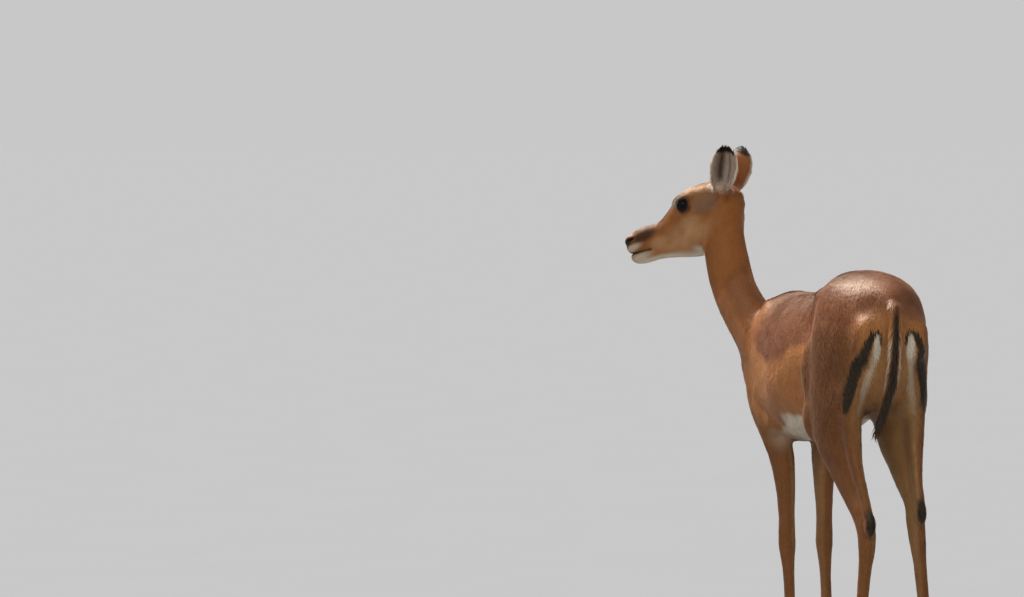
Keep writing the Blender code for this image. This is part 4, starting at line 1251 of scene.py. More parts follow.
def local_voxel(places):
    """The size of the skin's faces at each place."""
    distance = np.linalg.norm(places - from_head(HEAD_MIDDLE)[0], axis=1)
    slope = np.interp(distance, *HEAD_SLOPE)
    return VOXEL / np.sqrt(slope * np.interp(distance, *HEAD_MAGNIFY) / np.maximum(distance, 1e-3))


def fused_skin():
    """All shells fused into one closed surface and smoothed as the CAD's flesh is."""
    points, faces, first = [], [], 0
    for shell_points, shell_faces in flesh_shells() + [ear_shell(name) for name in SIDES]:
        points.append(shell_points)
        faces += [tuple(i + first for i in face) for face in shell_faces]
        first += len(shell_points)
    skin = object_from("skin", magnified(np.vstack(points)), faces)
    remesh = skin.modifiers.new("fuse", "REMESH")
    remesh.mode = "VOXEL"
    remesh.voxel_size = VOXEL
    mesh = applied(skin).data
    edges = read_off(mesh.edges, "vertices", 2, np.int64)
    places = magnified(mesh_points(mesh), back=True)
    set_places(mesh, smoothed(places, edges, softness(places), local_voxel(places)))
    return skin


def add_tail(skin):
    """Sets the tail's core into the rump, as part of the skin."""
    rows = np.asarray(TAIL, dtype=float)
    rows[:, 3:] *= TAIL_CORE
    rows[0, 0] += TAIL_ROOT_SINK
    core = smooth_object("tail_core", *limb_loft(rows, None, TAIL_RING_SPACING, TAIL_RING_POINTS))
    bpy.ops.object.select_all(action="DESELECT")
    core.select_set(True)
    skin.select_set(True)
    bpy.context.view_layer.objects.active = skin
    bpy.ops.object.join()


def make_skin():
    """One skin, the coat's depth inside the CAD's flesh, with the face and eyes' openings worked in."""
    skin = fused_skin()
    mesh = skin.data
    places, normals = places_and_normals(mesh)
    places = places - normals * press_depth(places, PRESSES)[:, None]
    set_places(mesh, places)
    normals = places_and_normals(mesh)[1]
    places = places - normals * coat_depth(places)[:, None]
    places = places - normals * face_depth(places)[:, None]
    places = around_eyes(places)
    places[:, 2] = np.maximum(places[:, 2], CORONET + SKIN_OVER_CLAWS)
    set_places(mesh, places)
    mesh.shade_smooth()
    add_tail(skin)
    return skin


def unwrapped(item):
    """Gives the skin an unwrap of its own shape."""
    bpy.context.view_layer.objects.active = item
    item.select_set(True)
    bpy.ops.object.mode_set(mode="EDIT")
    bpy.ops.mesh.select_all(action="SELECT")
    bpy.ops.uv.smart_project(angle_limit=UNWRAP_ANGLE, island_margin=UNWRAP_MARGIN)
    bpy.ops.object.mode_set(mode="OBJECT")
    item.data.uv_layers.active.name = BAKE_MAP


# ---------------------------------------------------------------- the lie of the coat

def lie_guides():
    """Places along the body with the way the hair lies there and how far each place's say reaches."""
    guides = []
    for forward, left, top, widest, bottom, half_width, _ in TRUNK:
        tilt = float(rise(np.array(-forward), *RUMP_TILTS))
        guides.append(((forward, left, top), mixed(BACK_LIE, RUMP_LIE, tilt), TRUNK_GUIDE))
        for side in SIDES.values():
            place = (forward, left + side * half_width, widest)
            guides.append((place, mixed(FLANK_LIE, BUTTOCK_LIE, tilt), TRUNK_GUIDE))
        guides.append(((forward, left, bottom), BELLY_LIE, BELLY_GUIDE))
    neck = spline(NECK, NECK_GUIDE_SPACING)
    for row, way in zip(neck[2:], tangents(neck[:, :3])[2:]):
        guides.append((row[:3], -way, NECK_GUIDE))
    for side in SIDES.values():
        for rows in (FORELIMB, HINDLIMB):
            guides += limb_guides(spline(rows, LIMB_GUIDE_SPACING), (1, side, 1))
        for place, way in HEAD_LIE:
            place = from_head(mirrored(place, side))[0]
            guides.append((place, mirrored(way, side)[0] @ head_axes(), LEAST_GUIDE))
    places, ways, reaches = zip(*guides)
    return np.array(places), unit(np.array(ways)), np.array(reaches)


def limb_guides(limb, turned):
    """Guides down a limb, turned to its side; the hair of its upper part leans back."""
    guides = []
    for row, way in zip(limb, tangents(limb[:, :3])):
        lean = UPPER_LIMB_LEAN if row[2] > UPPER_LIMB_FROM else 0.0
        reach = max(LIMB_GUIDE_HALF_DEPTHS * float(row[4]), LEAST_GUIDE)
        guides.append((row[:3] * turned, way * turned + lean, reach))
    return guides


def along_skin(flow, normals):
    """Directions laid flat on the skin."""
    return unit(flow - normals * (flow * normals).sum(axis=1)[:, None])


def lie_of_coat(places, normals):
    """The way the hair lies at each place, along the skin; beyond all reaches the nearest guides count."""
    guides, ways, reaches = lie_guides()
    flow = np.zeros_like(places)
    for start in range(0, len(places), PLACES_AT_ONCE):
        part = slice(start, start + PLACES_AT_ONCE)
        distance = np.linalg.norm(places[part, None, :] - guides[None], axis=2)
        weight = np.exp(-(distance / reaches) ** 2) + 1e-9 / (distance + 0.01) ** 4
        flow[part] = unit(weight @ ways)
    for side_name in SIDES:
        inside = ear_shares(places, side_name)[1][:, None]
        flow = mixed(flow, ear_frame(side_name)[1], inside)
    flow = mixed(flow, TAIL_LIE, tail_share(places)[:, None])
    return along_skin(flow, normals)


# ---------------------------------------------------------------- markings

def srgb(red, green, blue):
    """A colour named as on a screen, from 0 to 255, as the shader's linear numbers."""
    share = np.array((red, green, blue)) / 255.0
    return np.where(share <= 0.04045, share / 12.92, ((share + 0.055) / 1.055) ** 2.4)


def painted(colours, mask, name):
    """The colours with a named colour of the coat laid over them where the mask says."""
    return mixed(colours, srgb(*COAT[name]), mask[:, None])


def markings(places, normals):
    """The coat's colour at each place."""
    up = places[:, 2]
    wander = sum(size * ripple(places, span, seed) for size, span, seed in BORDER_RIPPLES)
    border = np.interp(places[:, 0], *SADDLE_BORDER)
    colours = np.tile(srgb(*COAT["flank"]), (len(places), 1))
    colours = painted(colours, 1 - rise(up, *LEGS_END), "leg")
    # The haunch takes the thigh's colour: its own darker brown with painted shade in it
    colours = painted(colours, blob(folded(places), *SHADED_HAUNCH), "thigh")
    colours = painted(colours, rise(up + wander, border + SADDLE_EDGE[0], border + SADDLE_EDGE[1]), "saddle")
    ridge = rise(up + wander, border + RIDGE_EDGE[0], border + RIDGE_EDGE[1])
    colours = painted(colours, STRENGTH["ridge"] * ridge, "ridge")
    neck = neck_share(places)
    colours = painted(colours, neck, "neck")
    nape = neck * rise(normals @ unit(np.array(NECK_NAPE_AXIS)), *NAPE_FACES)
    colours = painted(colours, STRENGTH["nape"] * nape, "nape")
    colours = painted(colours, belly_share(places, wander), "white")
    colours = rump_marked(head_marked(colours, places, normals), places)
    return tail_marked(legs_marked(colours, places, normals), places, normals)


def belly_share(places, wander):
    """1 on the belly's white, which keeps off the stifles and the elbows."""
    forward, side, up = folded(places).T
    top = np.interp(forward, *BELLY_BORDER)
    belly = (1 - rise(up + wander, top + BELLY_EDGE[0], top + BELLY_EDGE[1])) * rise(up, *BELLY_FROM_UP)
    belly *= rise(forward, *BELLY_FROM) * (1 - rise(forward, *BELLY_TO))
    return belly * np.maximum(rise(forward, *BELLY_WIDENS), 1 - rise(side, *BELLY_NARROW))


def rump_marked(colours, places):
    """Paler hair beside the tail, a small white patch on each buttock, and a black stripe hooked over it."""
    flat = folded(places)[:, 1:]
    behind = rise(-places[:, 0], *RUMP_BEHIND)
    colours = painted(colours, STRENGTH["rump"] * blob(flat, *RUMP_PALE) * behind, "inner")
    distance, share = along_path(flat, RUMP_PALE_LINE)
    line = (1 - rise(distance, *RUMP_LINE_EDGE)) * np.interp(share, (0.0, 1.0), RUMP_LINE_STRENGTHS) * behind
    colours = painted(colours, line, "white")
    colours = painted(colours, blob(flat, *RUMP_WHITE) * behind, "white")
    distance, share = along_path(flat, RUMP_STRIPE)
    width = np.interp(share, *RUMP_STRIPE_WIDTH)
    stripe = 1 - rise(distance / width, *RUMP_STRIPE_EDGE)
    return painted(colours, stripe * behind, "black")


def tuft_places(side_name):
    """The middles of a hind leg's dark tufts, at the hock and over the heel, in body places."""
    return mirrored(swung(LEG_TUFTS, *swings(side_name)[1]), SIDES[side_name])


def legs_marked(colours, places, normals):
    """Pale insides, black hock and heel tufts, and a dark coronet."""
    up = places[:, 2]
    inward = rise(-np.sign(places[:, 1]) * normals[:, 1], *LEG_INSIDE_FACES)
    upper = rise(up, *LEG_INSIDE_FROM) * (1 - rise(up, *LEG_INSIDE_TO))
    colours = painted(colours, STRENGTH["leg inside"] * inward * upper, "inner")
    colours = painted(colours, STRENGTH["shank inside"] * inward * (1 - rise(up, *SHANK_INSIDE_TO)), "inner")
    behind = rise(-normals[:, 0], *LEG_TUFT_FACES)
    for side_name in HINDFOOT:
        for place, radii in zip(tuft_places(side_name), LEG_TUFT_RADII):
            colours = painted(colours, blob(places, place, radii) * behind, "black")
    return painted(colours, STRENGTH["coronet"] * (1 - rise(up, *CORONET_DARK)), "ridge")


def head_marked(colours, places, normals):
    """Face, ears and throat."""
    head = to_head(places)
    tan = face_colours(head, normals @ head_axes()[2])
    colours = mixed(colours, tan, rise(head_share(places), *FACE_FROM)[:, None])
    colours = painted(colours, blob(head, *THROAT), "white")
    for side_name in SIDES:
        colours = ear_marked(colours, places, normals, side_name)
        distance, ahead, spread = seen_from_eye(places, side_name)
        close = (distance < EYE_RING_REGION) * (ahead > 0.0)
        ring = STRENGTH["eye ring"] * (1 - rise(spread, *EYE_RING_SPREAD))
        colours = painted(colours, close * ring, "eye ring")
        colours = painted(colours, close * (1 - rise(spread, *EYE_BLACK_SPREAD)), "black")
    return colours


def face_colours(head, facing_up):
    """The face's colour at head places, with its patches, dark bridge, white underside and black lines."""
    flat = folded(head)
    forward, up = head[:, 0], head[:, 2]
    tan = np.tile(srgb(*COAT["face"]), (len(head), 1))
    # Some patches are painted highlights: the forehead, the brow in part, the bridge's edge and the top of
    # the nose
    for _, centre, radii, edge, strength, colour in FACE_PATCHES:
        tan = painted(tan, strength * blob(flat, centre, radii, edge), colour)
    # The muzzle's top, where it faces up, is darkened: its own dark bridge with painted shade in it
    bridge = rise(facing_up, *SHADED_BRIDGE_FACES) * rise(forward, *BRIDGE_FROM) * (1 - rise(forward, *BRIDGE_TO))
    tan = painted(tan, STRENGTH["bridge"] * bridge, "bridge")
    tan = painted(tan, rise(-facing_up, *CHIN_FACES) * (1 - rise(up, *CHIN_TO_UP)), "white")
    for _, path, _, _ in FACE_LINES:
        distance, _ = along_path(flat * FACE_LINE_VIEW, np.array(path) * FACE_LINE_VIEW)
        tan = painted(tan, 1 - rise(distance, *FACE_LINE_EDGE), "black")
    return tan


def ear_marked(colours, places, normals, side_name):
    """Tan behind, pale and streaked inside, white along the rim and at the root, black at the tip."""
    share, inside = ear_shares(places, side_name)
    base, _, opening, across = ear_frame(side_name)
    facing = normals @ opening
    sideways = (places - base) @ across / np.interp(share, *EAR_MARK_WIDTHS)
    back = inside * (1 - rise(facing, *EAR_FRONT_FACES))
    front = inside - back
    colours = painted(colours, back, "ear back")
    colours = painted(colours, front, "ear inside")
    along = rise(share, *EAR_STREAKS_FROM) * (1 - rise(share, *EAR_STREAKS_TO))
    for middle, width, strength in EAR_STREAKS:
        streak = np.exp(-((sideways - middle) / width) ** 2) * along
        colours = painted(colours, strength * front * streak, "ear streak")
    rim = rise(np.abs(sideways), *EAR_RIM) * (share < EAR_WHITE_TO)
    colours = painted(colours, STRENGTH["ear white"] * inside * rim, "white")
    root = (1 - rise(share, *EAR_ROOT_TO)) * mixed(EAR_ROOT_BEHIND, 1.0, rise(facing, *EAR_ROOT_FACES))
    colours = painted(colours, STRENGTH["ear white"] * inside * root, "white")
    tip = rise(share + EAR_TIP_WANDER * ripple(places, 0.02, 9), *EAR_BLACK_FROM) * inside
    return painted(colours, tip, "black")


def tail_marked(colours, places, normals):
    """A black line down the tail's back, widening to its tuft, tan beside it and pale at its edges."""
    on_tail = tail_share(places)
    up = places[:, 2]
    _, lefts, ups = np.array(TAIL)[::-1, :3].T
    sideways = np.abs(places[:, 1] - np.interp(up, ups, lefts))
    half = np.interp(up, *TAIL_LINE_WIDTHS)
    colours = painted(colours, STRENGTH["tail white"] * on_tail * (1 - rise(up, *TAIL_PALE_TO)), "white")
    # The tan beside the tail's line is the thigh's colour, which holds painted shade
    colours = painted(colours, on_tail * (1 - rise(sideways / half, *TAIL_TAN_EDGE)), "thigh")
    line = (1 - rise(sideways / half, *TAIL_LINE_EDGE)) * (1 - rise(up, *TAIL_LINE_TO))
    return painted(colours, on_tail * line * rise(-normals[:, 0], *TAIL_BACK_FACES), "black")


# ---------------------------------------------------------------- tufts

def skin_opening(places):
    """1 where the skin is bare: round the eyes' openings, in the nostrils and on the nose pad."""
    flat = folded(to_head(places))
    bare = blob(flat, *BARE_NOSE)
    for _, path, reach, _ in FACE_LINES:
        distance, _ = along_path(flat * FACE_LINE_VIEW, np.array(path) * FACE_LINE_VIEW)
        bare = np.maximum(bare, distance < reach)
    for side_name in SIDES:
        distance, ahead, spread = seen_from_eye(places, side_name)
        bare = np.maximum(bare, (distance < EYE_REGION) * (ahead > 0.0) * (spread < BARE_LID_SPREAD))
    return np.maximum(bare, places[:, 2] < CORONET + BARE_OVER_CLAWS)


def hair_sizes(places, normals):
    """The tufts' length, width and lift at each place, in metres."""
    up, on_head = places[:, 2], head_share(places)
    under = rise(-normals[:, 2], *UNDERSIDE_FACES) * rise(up, *UNDERSIDE_FROM) * (1 - on_head)
    length = np.interp(up, *HAIR_BY_HEIGHT) + UNDERSIDE_HAIR[0] * under
    lift = HAIR_LIFT * coat_depth(places) + UNDERSIDE_HAIR[1] * under
    length = mixed(length, np.interp(to_head(places)[:, 0], *HAIR_ON_HEAD), on_head)
    for side_name in SIDES:
        share, inside = ear_shares(places, side_name)
        facing = rise(normals @ ear_frame(side_name)[2], *EAR_HAIR_FACES)
        along = mixed(1.0, EAR_TIP_HAIR, rise(share, *EAR_TIP_FROM))
        length = mixed(length, along * mixed(*EAR_HAIR_LENGTHS, facing), inside)
        lift = mixed(lift, along * mixed(*EAR_HAIR_LIFTS, facing), inside)
    width = HAIR_WIDTH * length
    behind = rise(-normals[:, 0], *LEG_TUFT_HAIR_FACES)
    for side_name in HINDFOOT:
        for place, more, reach in zip(tuft_places(side_name), LEG_TUFT_HAIR, LEG_TUFT_REACH):
            near = np.exp(-(np.linalg.norm(places - place, axis=1) / reach) ** 2) * behind
            length = length + more * near
            lift = lift + LEG_TUFT_LIFT * more * near
    tail = tail_share(places)
    lift = mixed(lift, np.interp(up, *TAIL_LIFT_BY_HEIGHT), tail)
    return mixed(length, TAIL_HAIR_LENGTH, tail), mixed(width, TAIL_HAIR_WIDTH, tail), lift


class Surface:
    """The skin's triangles, with the place, normal, flow and place in the unwrap of each corner."""

    def __init__(self, mesh):
        mesh.calc_loop_triangles()
        loops = read_off(mesh.loop_triangles, "loops", 3, np.int32)
        self.corners = read_off(mesh.loop_triangles, "vertices", 3, np.int32)
        self.unwrap = read_off(mesh.uv_layers[BAKE_MAP].data, "uv", 2, np.float32)[loops]
        self.places, self.normals = places_and_normals(mesh)
        self.flow = lie_of_coat(self.places, self.normals)
        first, second, third = (self.places[self.corners[:, i]] for i in range(3))
        self.areas = 0.5 * np.linalg.norm(np.cross(second - first, third - first), axis=1)

    def at(self, values, chosen, weights):
        """Corner values mixed at points of the chosen triangles."""
        return (values[self.corners[chosen]] * weights[:, :, None]).sum(axis=1)


def sown_roots(surface, count, random):
    """Roots spread over the skin, closer where the hair is shorter: triangles and corner weights."""
    middles = surface.places[surface.corners].mean(axis=1)
    normals = unit(surface.normals[surface.corners].mean(axis=1))
    length, width, _ = hair_sizes(middles, normals)
    crowd = surface.areas * (1 - skin_opening(middles)) / (length * width)
    steps = np.cumsum(crowd)
    marks = (np.arange(count) + random.random(count)) * steps[-1] / count
    chosen = np.minimum(np.searchsorted(steps, marks), len(steps) - 1)
    first, second = random.random(count), random.random(count)
    flip = first + second > 1
    first[flip], second[flip] = 1 - first[flip], 1 - second[flip]
    return chosen, np.column_stack((first, second, 1 - first - second))


def sown_tufts(surface, random):
    """The root, directions, sizes, colours and place in the unwrap of every tuft of the coat."""
    chosen, weights = sown_roots(surface, TUFTS, random)
    roots = surface.at(surface.places, chosen, weights)
    normals = unit(surface.at(surface.normals, chosen, weights))
    flow = surface.at(surface.flow, chosen, weights)
    swerve = SWERVE_WANDER * ripple(roots, 0.030, 5) + random.normal(0.0, SWERVE, TUFTS)
    across = np.cross(normals, flow)
    flow = unit(flow * np.cos(swerve)[:, None] + across * np.sin(swerve)[:, None])
    length, width, lift = hair_sizes(roots, normals)
    return {
        "roots": roots,
        "normals": normals,
        "flow": along_skin(flow, normals),
        "length": length * random.uniform(*LENGTHS_VARY, TUFTS),
        "width": width * random.uniform(*WIDTHS_VARY, TUFTS),
        "lift": lift * random.uniform(*LIFTS_VARY, TUFTS) * (1 + LIFT_WANDER * ripple(roots, 0.018, 6)),
        "tone": np.clip(random.normal(0.5, TONES_VARY, TUFTS) + TONE_WANDER * ripple(roots, 0.012, 7), 0, 1),
        "colours": markings(roots, normals),
        "unwrap": (surface.unwrap[chosen] * weights[:, :, None]).sum(axis=1),
    }


def coat_regions(roots):
    """The tufts' numbers by region of the body."""
    forward, up = roots[:, 0], roots[:, 2]
    on_head = head_share(roots) > HEAD_PIECE_SHARE
    on_tail = tail_share(roots) > 0.5
    on_neck = ~on_head & (neck_share(roots) > 0.5)
    leg = ~on_head & ~on_neck & ~on_tail & (up < LEGS_BELOW)
    body = ~(on_head | on_tail | on_neck | leg)
    masks = {
        "head": on_head,
        "neck": on_neck,
        "tail": on_tail,
        "forelegs": leg & (forward > 0),
        "hindlegs": leg & (forward <= 0),
        "barrel": body & (forward > QUARTERS_BEHIND),
        "quarters": body & (forward <= QUARTERS_BEHIND),
    }
    return {region: np.flatnonzero(mask) for region, mask in masks.items()}


def tuft_shape(roots, normals, flow, length, width, lift):
    """Every blade's corners, and the ways that they face for shading."""
    across = np.cross(normals, flow)
    points = np.empty((len(roots), len(TUFT_CORNERS), 3))
    shading = np.empty_like(points)
    for i, (along, aside, height, lean) in enumerate(TUFT_CORNERS):
        ridge = TUFT_RIDGE * width if aside == 0 and 0 < along < 1 else 0.0
        points[:, i] = (
            roots
            + flow * (along * length)[:, None]
            + across * (aside * width)[:, None]
            + normals * (height * lift + ridge - TUFT_SINK * (along == 0))[:, None]
        )
        shading[:, i] = normals + across * lean + flow * TUFT_TIP_LEAN * along
    return points.reshape(-1, 3), unit(shading.reshape(-1, 3))


def tuft_piece(name, look, roots, normals, flow, length, width, lift, tone, colours, unwrap):
    """Blades of five faces: two root corners, three across the middle with a raised ridge, and a tip."""
    count, corners = len(roots), len(TUFT_CORNERS)
    points, shading = tuft_shape(roots, normals, flow, length, width, lift)
    faces = (np.arange(count)[:, None, None] * corners + np.array(TUFT_FACES)).reshape(-1, 3)
    mesh = triangle_mesh(name, points, faces)
    write_colours(mesh, np.repeat(colours, corners, axis=0))
    write_values(mesh, "tone", np.repeat(tone, corners))
    write_values(mesh, "reach", np.tile([corner[0] for corner in TUFT_CORNERS], count))
    patch = np.array([(corner[1], corner[0] - 0.5) for corner in TUFT_CORNERS]) * TUFT_PATCH
    unwrapped_corners = (unwrap[:, None, :] + patch).reshape(-1, 2)[faces.ravel()]
    layer = mesh.uv_layers.new(name=BAKE_MAP)
    layer.data.foreach_set("uv", np.clip(unwrapped_corners, 0, 1).astype(np.float32).ravel())
    mesh.shade_smooth()
    mesh.normals_split_custom_set_from_vertices(to_world(shading).astype(np.float32))
    mesh.materials.append(look)
    item = bpy.data.objects.new(name, mesh)
    bpy.context.collection.objects.link(item)
    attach(item, "root")


def make_coat(skin):
    """Thin overlapping tufts over the whole skin, as one mesh for each region of the body."""
    tufts = sown_tufts(Surface(skin.data), np.random.default_rng(COAT_SEED))
    looks = {gloss: fur_material(*gloss) for gloss in (BODY_GLOSS, FACE_GLOSS)}
    for region, members in coat_regions(tufts["roots"]).items():
        look = looks[FACE_GLOSS if region == "head" else BODY_GLOSS]
        for part, start in enumerate(range(0, len(members), TUFTS_PER_PIECE)):
            rows = members[start:start + TUFTS_PER_PIECE]
            piece = {name: values[rows] for name, values in tufts.items()}
            tuft_piece(f"coat_{region}_{part + 1}", look, **piece)


# ---------------------------------------------------------------- materials

def nodes_of(name):
    """A new material with its node tree and shader."""
    material = bpy.data.materials.new(name)
    material.use_nodes = True
    tree = material.node_tree
    return material, tree, tree.nodes["Principled BSDF"]


def fed(tree, node, inputs):
    """The node, with its inputs set to values or linked to sockets."""
    for name, value in inputs.items():
        if isinstance(value, bpy.types.NodeSocket):
            tree.links.new(value, node.inputs[name])
        else:
            node.inputs[name].default_value = value
    return node


def new_node(tree, kind, inputs):
    return fed(tree, tree.nodes.new("ShaderNode" + kind), inputs)


def object_places(tree):
    return tree.nodes.new("ShaderNodeTexCoord").outputs["Object"]


def noise(tree, place, scale, detail=3.0, roughness=0.55):
    inputs = {"Vector": place, "Scale": scale, "Detail": detail, "Roughness": roughness}
    return new_node(tree, "TexNoise", inputs).outputs["Fac"]


def ranged(tree, value, low, high):
    """Turns a number between 0 and 1 to one between low and high."""
    return new_node(tree, "MapRange", {"Value": value, "To Min": low, "To Max": high}).outputs["Result"]


def mottled(tree, place, scale, low, high, detail=3.0):
    """A number that wanders between low and high over the surface."""
    return ranged(tree, noise(tree, place, scale, detail), low, high)


def product(tree, first, second):
    node = new_node(tree, "Math", {0: first, 1: second})
    node.operation = "MULTIPLY"
    return node.outputs["Value"]


def dimmed(tree, colour, factor):
    """A colour times a number."""
    node = tree.nodes.new("ShaderNodeVectorMath")
    node.operation = "SCALE"
    return fed(tree, node, {0: colour, "Scale": factor}).outputs["Vector"]


def plain(tree, colour):
    """A colour named as on a screen, as a socket."""
    node = tree.nodes.new("ShaderNodeRGB")
    node.outputs["Color"].default_value = (*srgb(*colour), 1.0)
    return node.outputs["Color"]


def named(tree, name, output):
    """What the mesh keeps under a name."""
    node = tree.nodes.new("ShaderNodeAttribute")
    node.attribute_name = name
    return node.outputs[output]


def bump(tree, height, strength, distance):
    inputs = {"Height": height, "Strength": strength, "Distance": distance}
    return new_node(tree, "Bump", inputs).outputs["Normal"]


def fur_material(name, gloss):
    """Tufts: the markings, lighter and darker from tuft to tuft, darker at the root, with a soft gloss."""
    material, tree, shader = nodes_of(name)
    place = object_places(tree)
    tone = ranged(tree, named(tree, "tone", "Fac"), 0.80, 1.20)
    reach = ranged(tree, named(tree, "reach", "Fac"), 0.88, 1.08)
    patches = mottled(tree, place, 28.0, 0.90, 1.12)
    strands = mottled(tree, place, 900.0, 0.90, 1.12, detail=2.0)
    factor = product(tree, product(tree, tone, reach), product(tree, patches, strands))
    fed(tree, shader, {
        "Base Color": dimmed(tree, named(tree, "coat", "Color"), factor),
        "Roughness": mottled(tree, place, 60.0, 0.38, 0.54),
        "Normal": bump(tree, noise(tree, place, 160.0, 6.0, 0.75), 0.40, 0.0012),
        "Specular IOR Level": gloss,
        "Specular Tint": (1.0, 0.74, 0.48, 1.0),
        "Sheen Weight": 0.07,
        "Sheen Roughness": 0.4,
        "Sheen Tint": (1.0, 0.80, 0.62, 1.0),
    })
    return material


def skin_material():
    """Under the tufts: the same markings, with the short hair's grain as bump."""
    material, tree, shader = nodes_of("skin")
    place = object_places(tree)
    hair = noise(tree, place, 700.0, 4.0, 0.7)
    # The skin is painted a little darker than the tufts over it, as painted shade between the hairs
    patches = mottled(tree, place, 28.0, 0.80, 1.06)
    factor = product(tree, patches, ranged(tree, hair, 0.72, 1.18))
    fed(tree, shader, {
        "Base Color": dimmed(tree, named(tree, "coat", "Color"), factor),
        "Roughness": mottled(tree, place, 120.0, 0.48, 0.64),
        "Normal": bump(tree, hair, 0.55, 0.0008),
        "Specular IOR Level": 0.25,
    })
    return material


def eye_material():
    """A wet dark eye: brown iris and a wide level pupil."""
    material, tree, shader = nodes_of("eye")
    place = named(tree, "eye_place", "Vector")
    squeezed = new_node(tree, "VectorMath", {0: place, 1: PUPIL_SQUEEZE})
    squeezed.operation = "MULTIPLY"
    length = new_node(tree, "VectorMath", {0: squeezed.outputs["Vector"]})
    length.operation = "LENGTH"
    ramp = new_node(tree, "ValToRGB", {"Fac": length.outputs["Value"]})
    colours = (PUPIL_BLACK, srgb(*IRIS_BROWN))
    for element, position, colour in zip(ramp.color_ramp.elements, PUPIL_EDGE, colours):
        element.position = position
        element.color = (*colour, 1.0)
    flecks = new_node(tree, "TexNoise", {"Vector": place, "Scale": 14.0}).outputs["Fac"]
    fed(tree, shader, {
        "Base Color": dimmed(tree, ramp.outputs["Color"], ranged(tree, flecks, 0.6, 1.4)),
        "Roughness": 0.04,
        "Specular IOR Level": 0.10,
    })
    return material


def horn_material():
    """Claws: black-brown horn with fine level growth lines, worn paler at the floor."""
    material, tree, shader = nodes_of("horn")
    place = object_places(tree)
    wave = new_node(tree, "TexWave", {"Vector": place, "Scale": 90.0, "Distortion": 2.5, "Detail": 3.0})
    wave.wave_type = "BANDS"
    wave.bands_direction = "Z"
    lines = wave.outputs["Fac"]
    height = new_node(tree, "SeparateXYZ", {"Vector": place}).outputs["Z"]
    worn = new_node(tree, "MapRange", {"Value": height, "From Max": CORONET, "To Min": 1.9, "To Max": 0.8})
    factor = product(tree, worn.outputs["Result"], ranged(tree, lines, 0.75, 1.25))
    fed(tree, shader, {
        "Base Color": dimmed(tree, plain(tree, HORN_BLACK), factor),
        "Roughness": mottled(tree, place, 160.0, 0.42, 0.58),
        "Normal": bump(tree, lines, 0.30, 0.0004),
        "Specular IOR Level": 0.30,
    })
    return material


def lash_material():
    material, tree, shader = nodes_of("lash")
    streaks = mottled(tree, object_places(tree), 500.0, 0.6, 1.3)
    fed(tree, shader, {
        "Base Color": dimmed(tree, plain(tree, LASH_BLACK), streaks),
        "Roughness": 0.45,
    })
    return material


# ---------------------------------------------------------------- claws

def claw_outline(length, width):
    """Half of a cloven hoof seen from below: pointed and bowed at the toe, rounded at the heel."""
    outer = []
    for share in np.linspace(0.0, 1.0, CLAW_OUTLINE_POINTS):
        bow = math.sin(math.pi * np.interp(share, *CLAW_BOW_ANGLES)) ** CLAW_BOW_POWER
        outer.append((length * (0.5 - share), width * bow))
    inner = [(length * (share - 0.5) * CLAW_INNER_LENGTH, 0.0) for share in (0.0, 0.5, 1.0)]
    return np.array(outer + inner)


def make_claws():
    """Two smooth claws of horn under each leg, in the CAD claws' places."""
    horn = horn_material()
    for limb, feet in (("foreleg", FOREFOOT), ("hindleg", HINDFOOT)):
        for side_name, foot in feet.items():
            heading = SIDES[side_name] * CLAW_TURN
            middle = np.array((foot[0] + CLAW_AHEAD, foot[1]))
            for place, side in SIDES.items():
                claw = make_claw(f"claw_{limb}_{side_name}_{place}", middle, heading, side)
                claw.data.materials.append(horn)
                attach(claw, "root")
                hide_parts(f"hoof_{limb}_{side_name}_{place}_claw")


def make_claw(name, middle, heading, side):
    """One claw: a flat sole, a hard lower edge, walls that slope back, and a rounded top at the coronet."""
    turn = np.array(((math.cos(heading), math.sin(heading)), (-math.sin(heading), math.cos(heading))))
    loops = []
    for up in CLAW_LEVELS:
        level = up * CORONET
        long, wide, forward = (np.interp(level, CLAW_SHAPE[0], column) for column in CLAW_SHAPE[1:])
        top = float(rise(np.array(up), *CLAW_TOP_FROM))
        shoulder = 1 - CLAW_TOP_ROUND * top - CLAW_SOLE_ROUND * (up == 0)
        outline = claw_outline(SOLE_LENGTH * long * shoulder, SOLE_WIDTH * wide * shoulder)
        outline[:, 0] += forward
        outline[:, 1] = side * (outline[:, 1] + CLAW_CLEFT / 2)
        flat = outline @ turn + middle
        loops.append(np.column_stack((flat, np.full(len(flat), level))))
    rings, count = len(loops), len(loops[0])
    ends = [tuple(range(count)), tuple(range((rings - 1) * count, rings * count))]
    item = smooth_object(name, np.vstack(loops), ends + strip_faces(rings, count))
    item.data.set_sharp_from_angle(angle=CLAW_SHARP)
    return item


# ---------------------------------------------------------------- floor, light and camera

def make_floor():
    """A plain pale floor at the soles' level."""
    span = FLOOR_SPAN / 2
    corners = [(-span, -span, 0), (span, -span, 0), (span, span, 0), (-span, span, 0)]
    floor = object_from("floor", corners, [(0, 1, 2, 3)])
    material, tree, shader = nodes_of("floor")
    patches = mottled(tree, object_places(tree), 3.0, 0.985, 1.015)
    fed(tree, shader, {
        "Base Color": dimmed(tree, plain(tree, FLOOR_PALE), patches),
        "Roughness": 1.0,
        "Specular IOR Level": 0.0,
    })
    floor.data.materials.append(material)


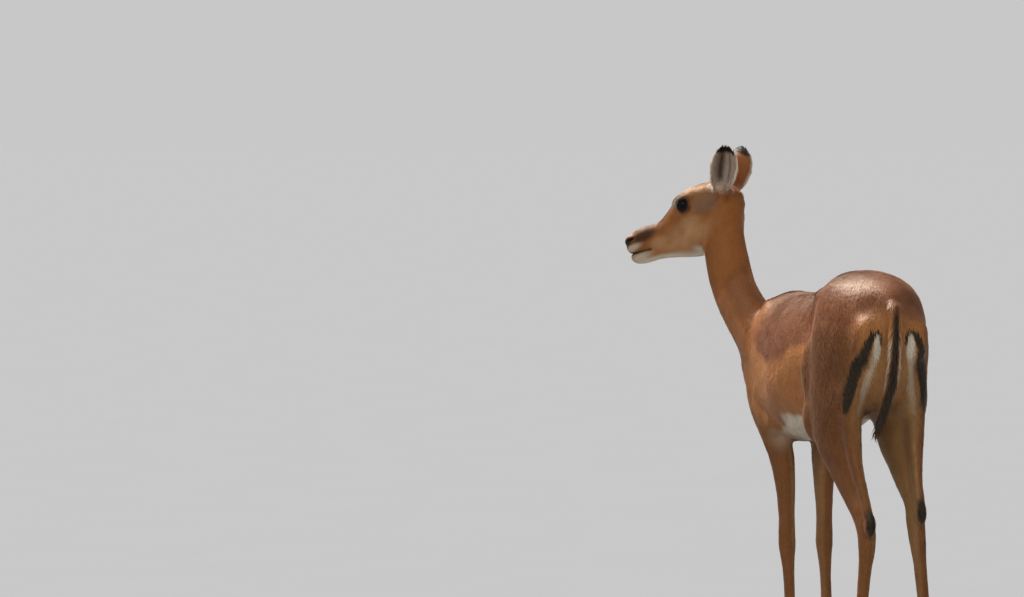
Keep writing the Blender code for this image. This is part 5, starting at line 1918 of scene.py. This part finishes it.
def make_lights():
    """Soft studio light: a high key from ahead, a broad weak fill from her left, and a pale surround."""
    world = bpy.data.worlds.new("studio")
    world.use_nodes = True
    background = world.node_tree.nodes["Background"]
    background.inputs["Color"].default_value = (*srgb(*SURROUND_PALE), 1.0)
    background.inputs["Strength"].default_value = SURROUND
    bpy.context.scene.world = world
    bpy.context.scene.view_settings.view_transform = "Standard"
    for name, comes_from, breadth, strength, colour in LIGHTS:
        light = bpy.data.lights.new(name, "SUN")
        light.angle = breadth
        light.energy = strength
        light.color = colour
        item = bpy.data.objects.new(name, light)
        bpy.context.collection.objects.link(item)
        item.rotation_euler = Vector(comes_from).to_track_quat("Z", "Y").to_euler()


def make_camera():
    """A long lens, low behind the ewe's left quarter; she stands right of the middle."""
    data = bpy.data.cameras.new("camera")
    data.sensor_width = SENSOR_WIDTH
    data.lens = LENS_LENGTH
    data.clip_end = FLOOR_SPAN
    camera = bpy.data.objects.new("camera", data)
    bpy.context.collection.objects.link(camera)
    sight = np.array((-math.sin(CAMERA_TURN), -math.cos(CAMERA_TURN), 0.0))
    place = np.array((0.0, CAMERA_AIM, CAMERA_HEIGHT)) - CAMERA_DISTANCE * sight
    aside, down = math.atan(CAMERA_ASIDE), math.atan(CAMERA_DOWN)
    image_left = np.array((-sight[1], sight[0], 0.0))
    level = sight * math.cos(aside) + image_left * math.sin(aside)
    way = Vector(level * math.cos(down)) - Vector((0, 0, math.sin(down)))
    camera.location = place - SHIFT
    camera.rotation_euler = way.to_track_quat("-Z", "Y").to_euler()
    bpy.context.scene.camera = camera


# ---------------------------------------------------------------- the whole

def dressed(item, look):
    """Paints the markings on a piece of skin and makes it ride."""
    write_colours(item.data, markings(*places_and_normals(item.data)))
    item.data.materials.append(look)
    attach(item, "root")


def build():
    """The whole scene, piece by piece."""
    skin = make_skin()
    unwrapped(skin)
    skin_look = skin_material()
    dressed(skin, skin_look)
    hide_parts(*FLESH_NODES)
    for lids in make_lids():
        dressed(lids, skin_look)
    lash = lash_material()
    for lashes in make_lashes():
        lashes.data.materials.append(lash)
        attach(lashes, "root")
    make_eyes()
    make_coat(skin)
    make_claws()
    make_floor()
    make_lights()
    make_camera()


build()
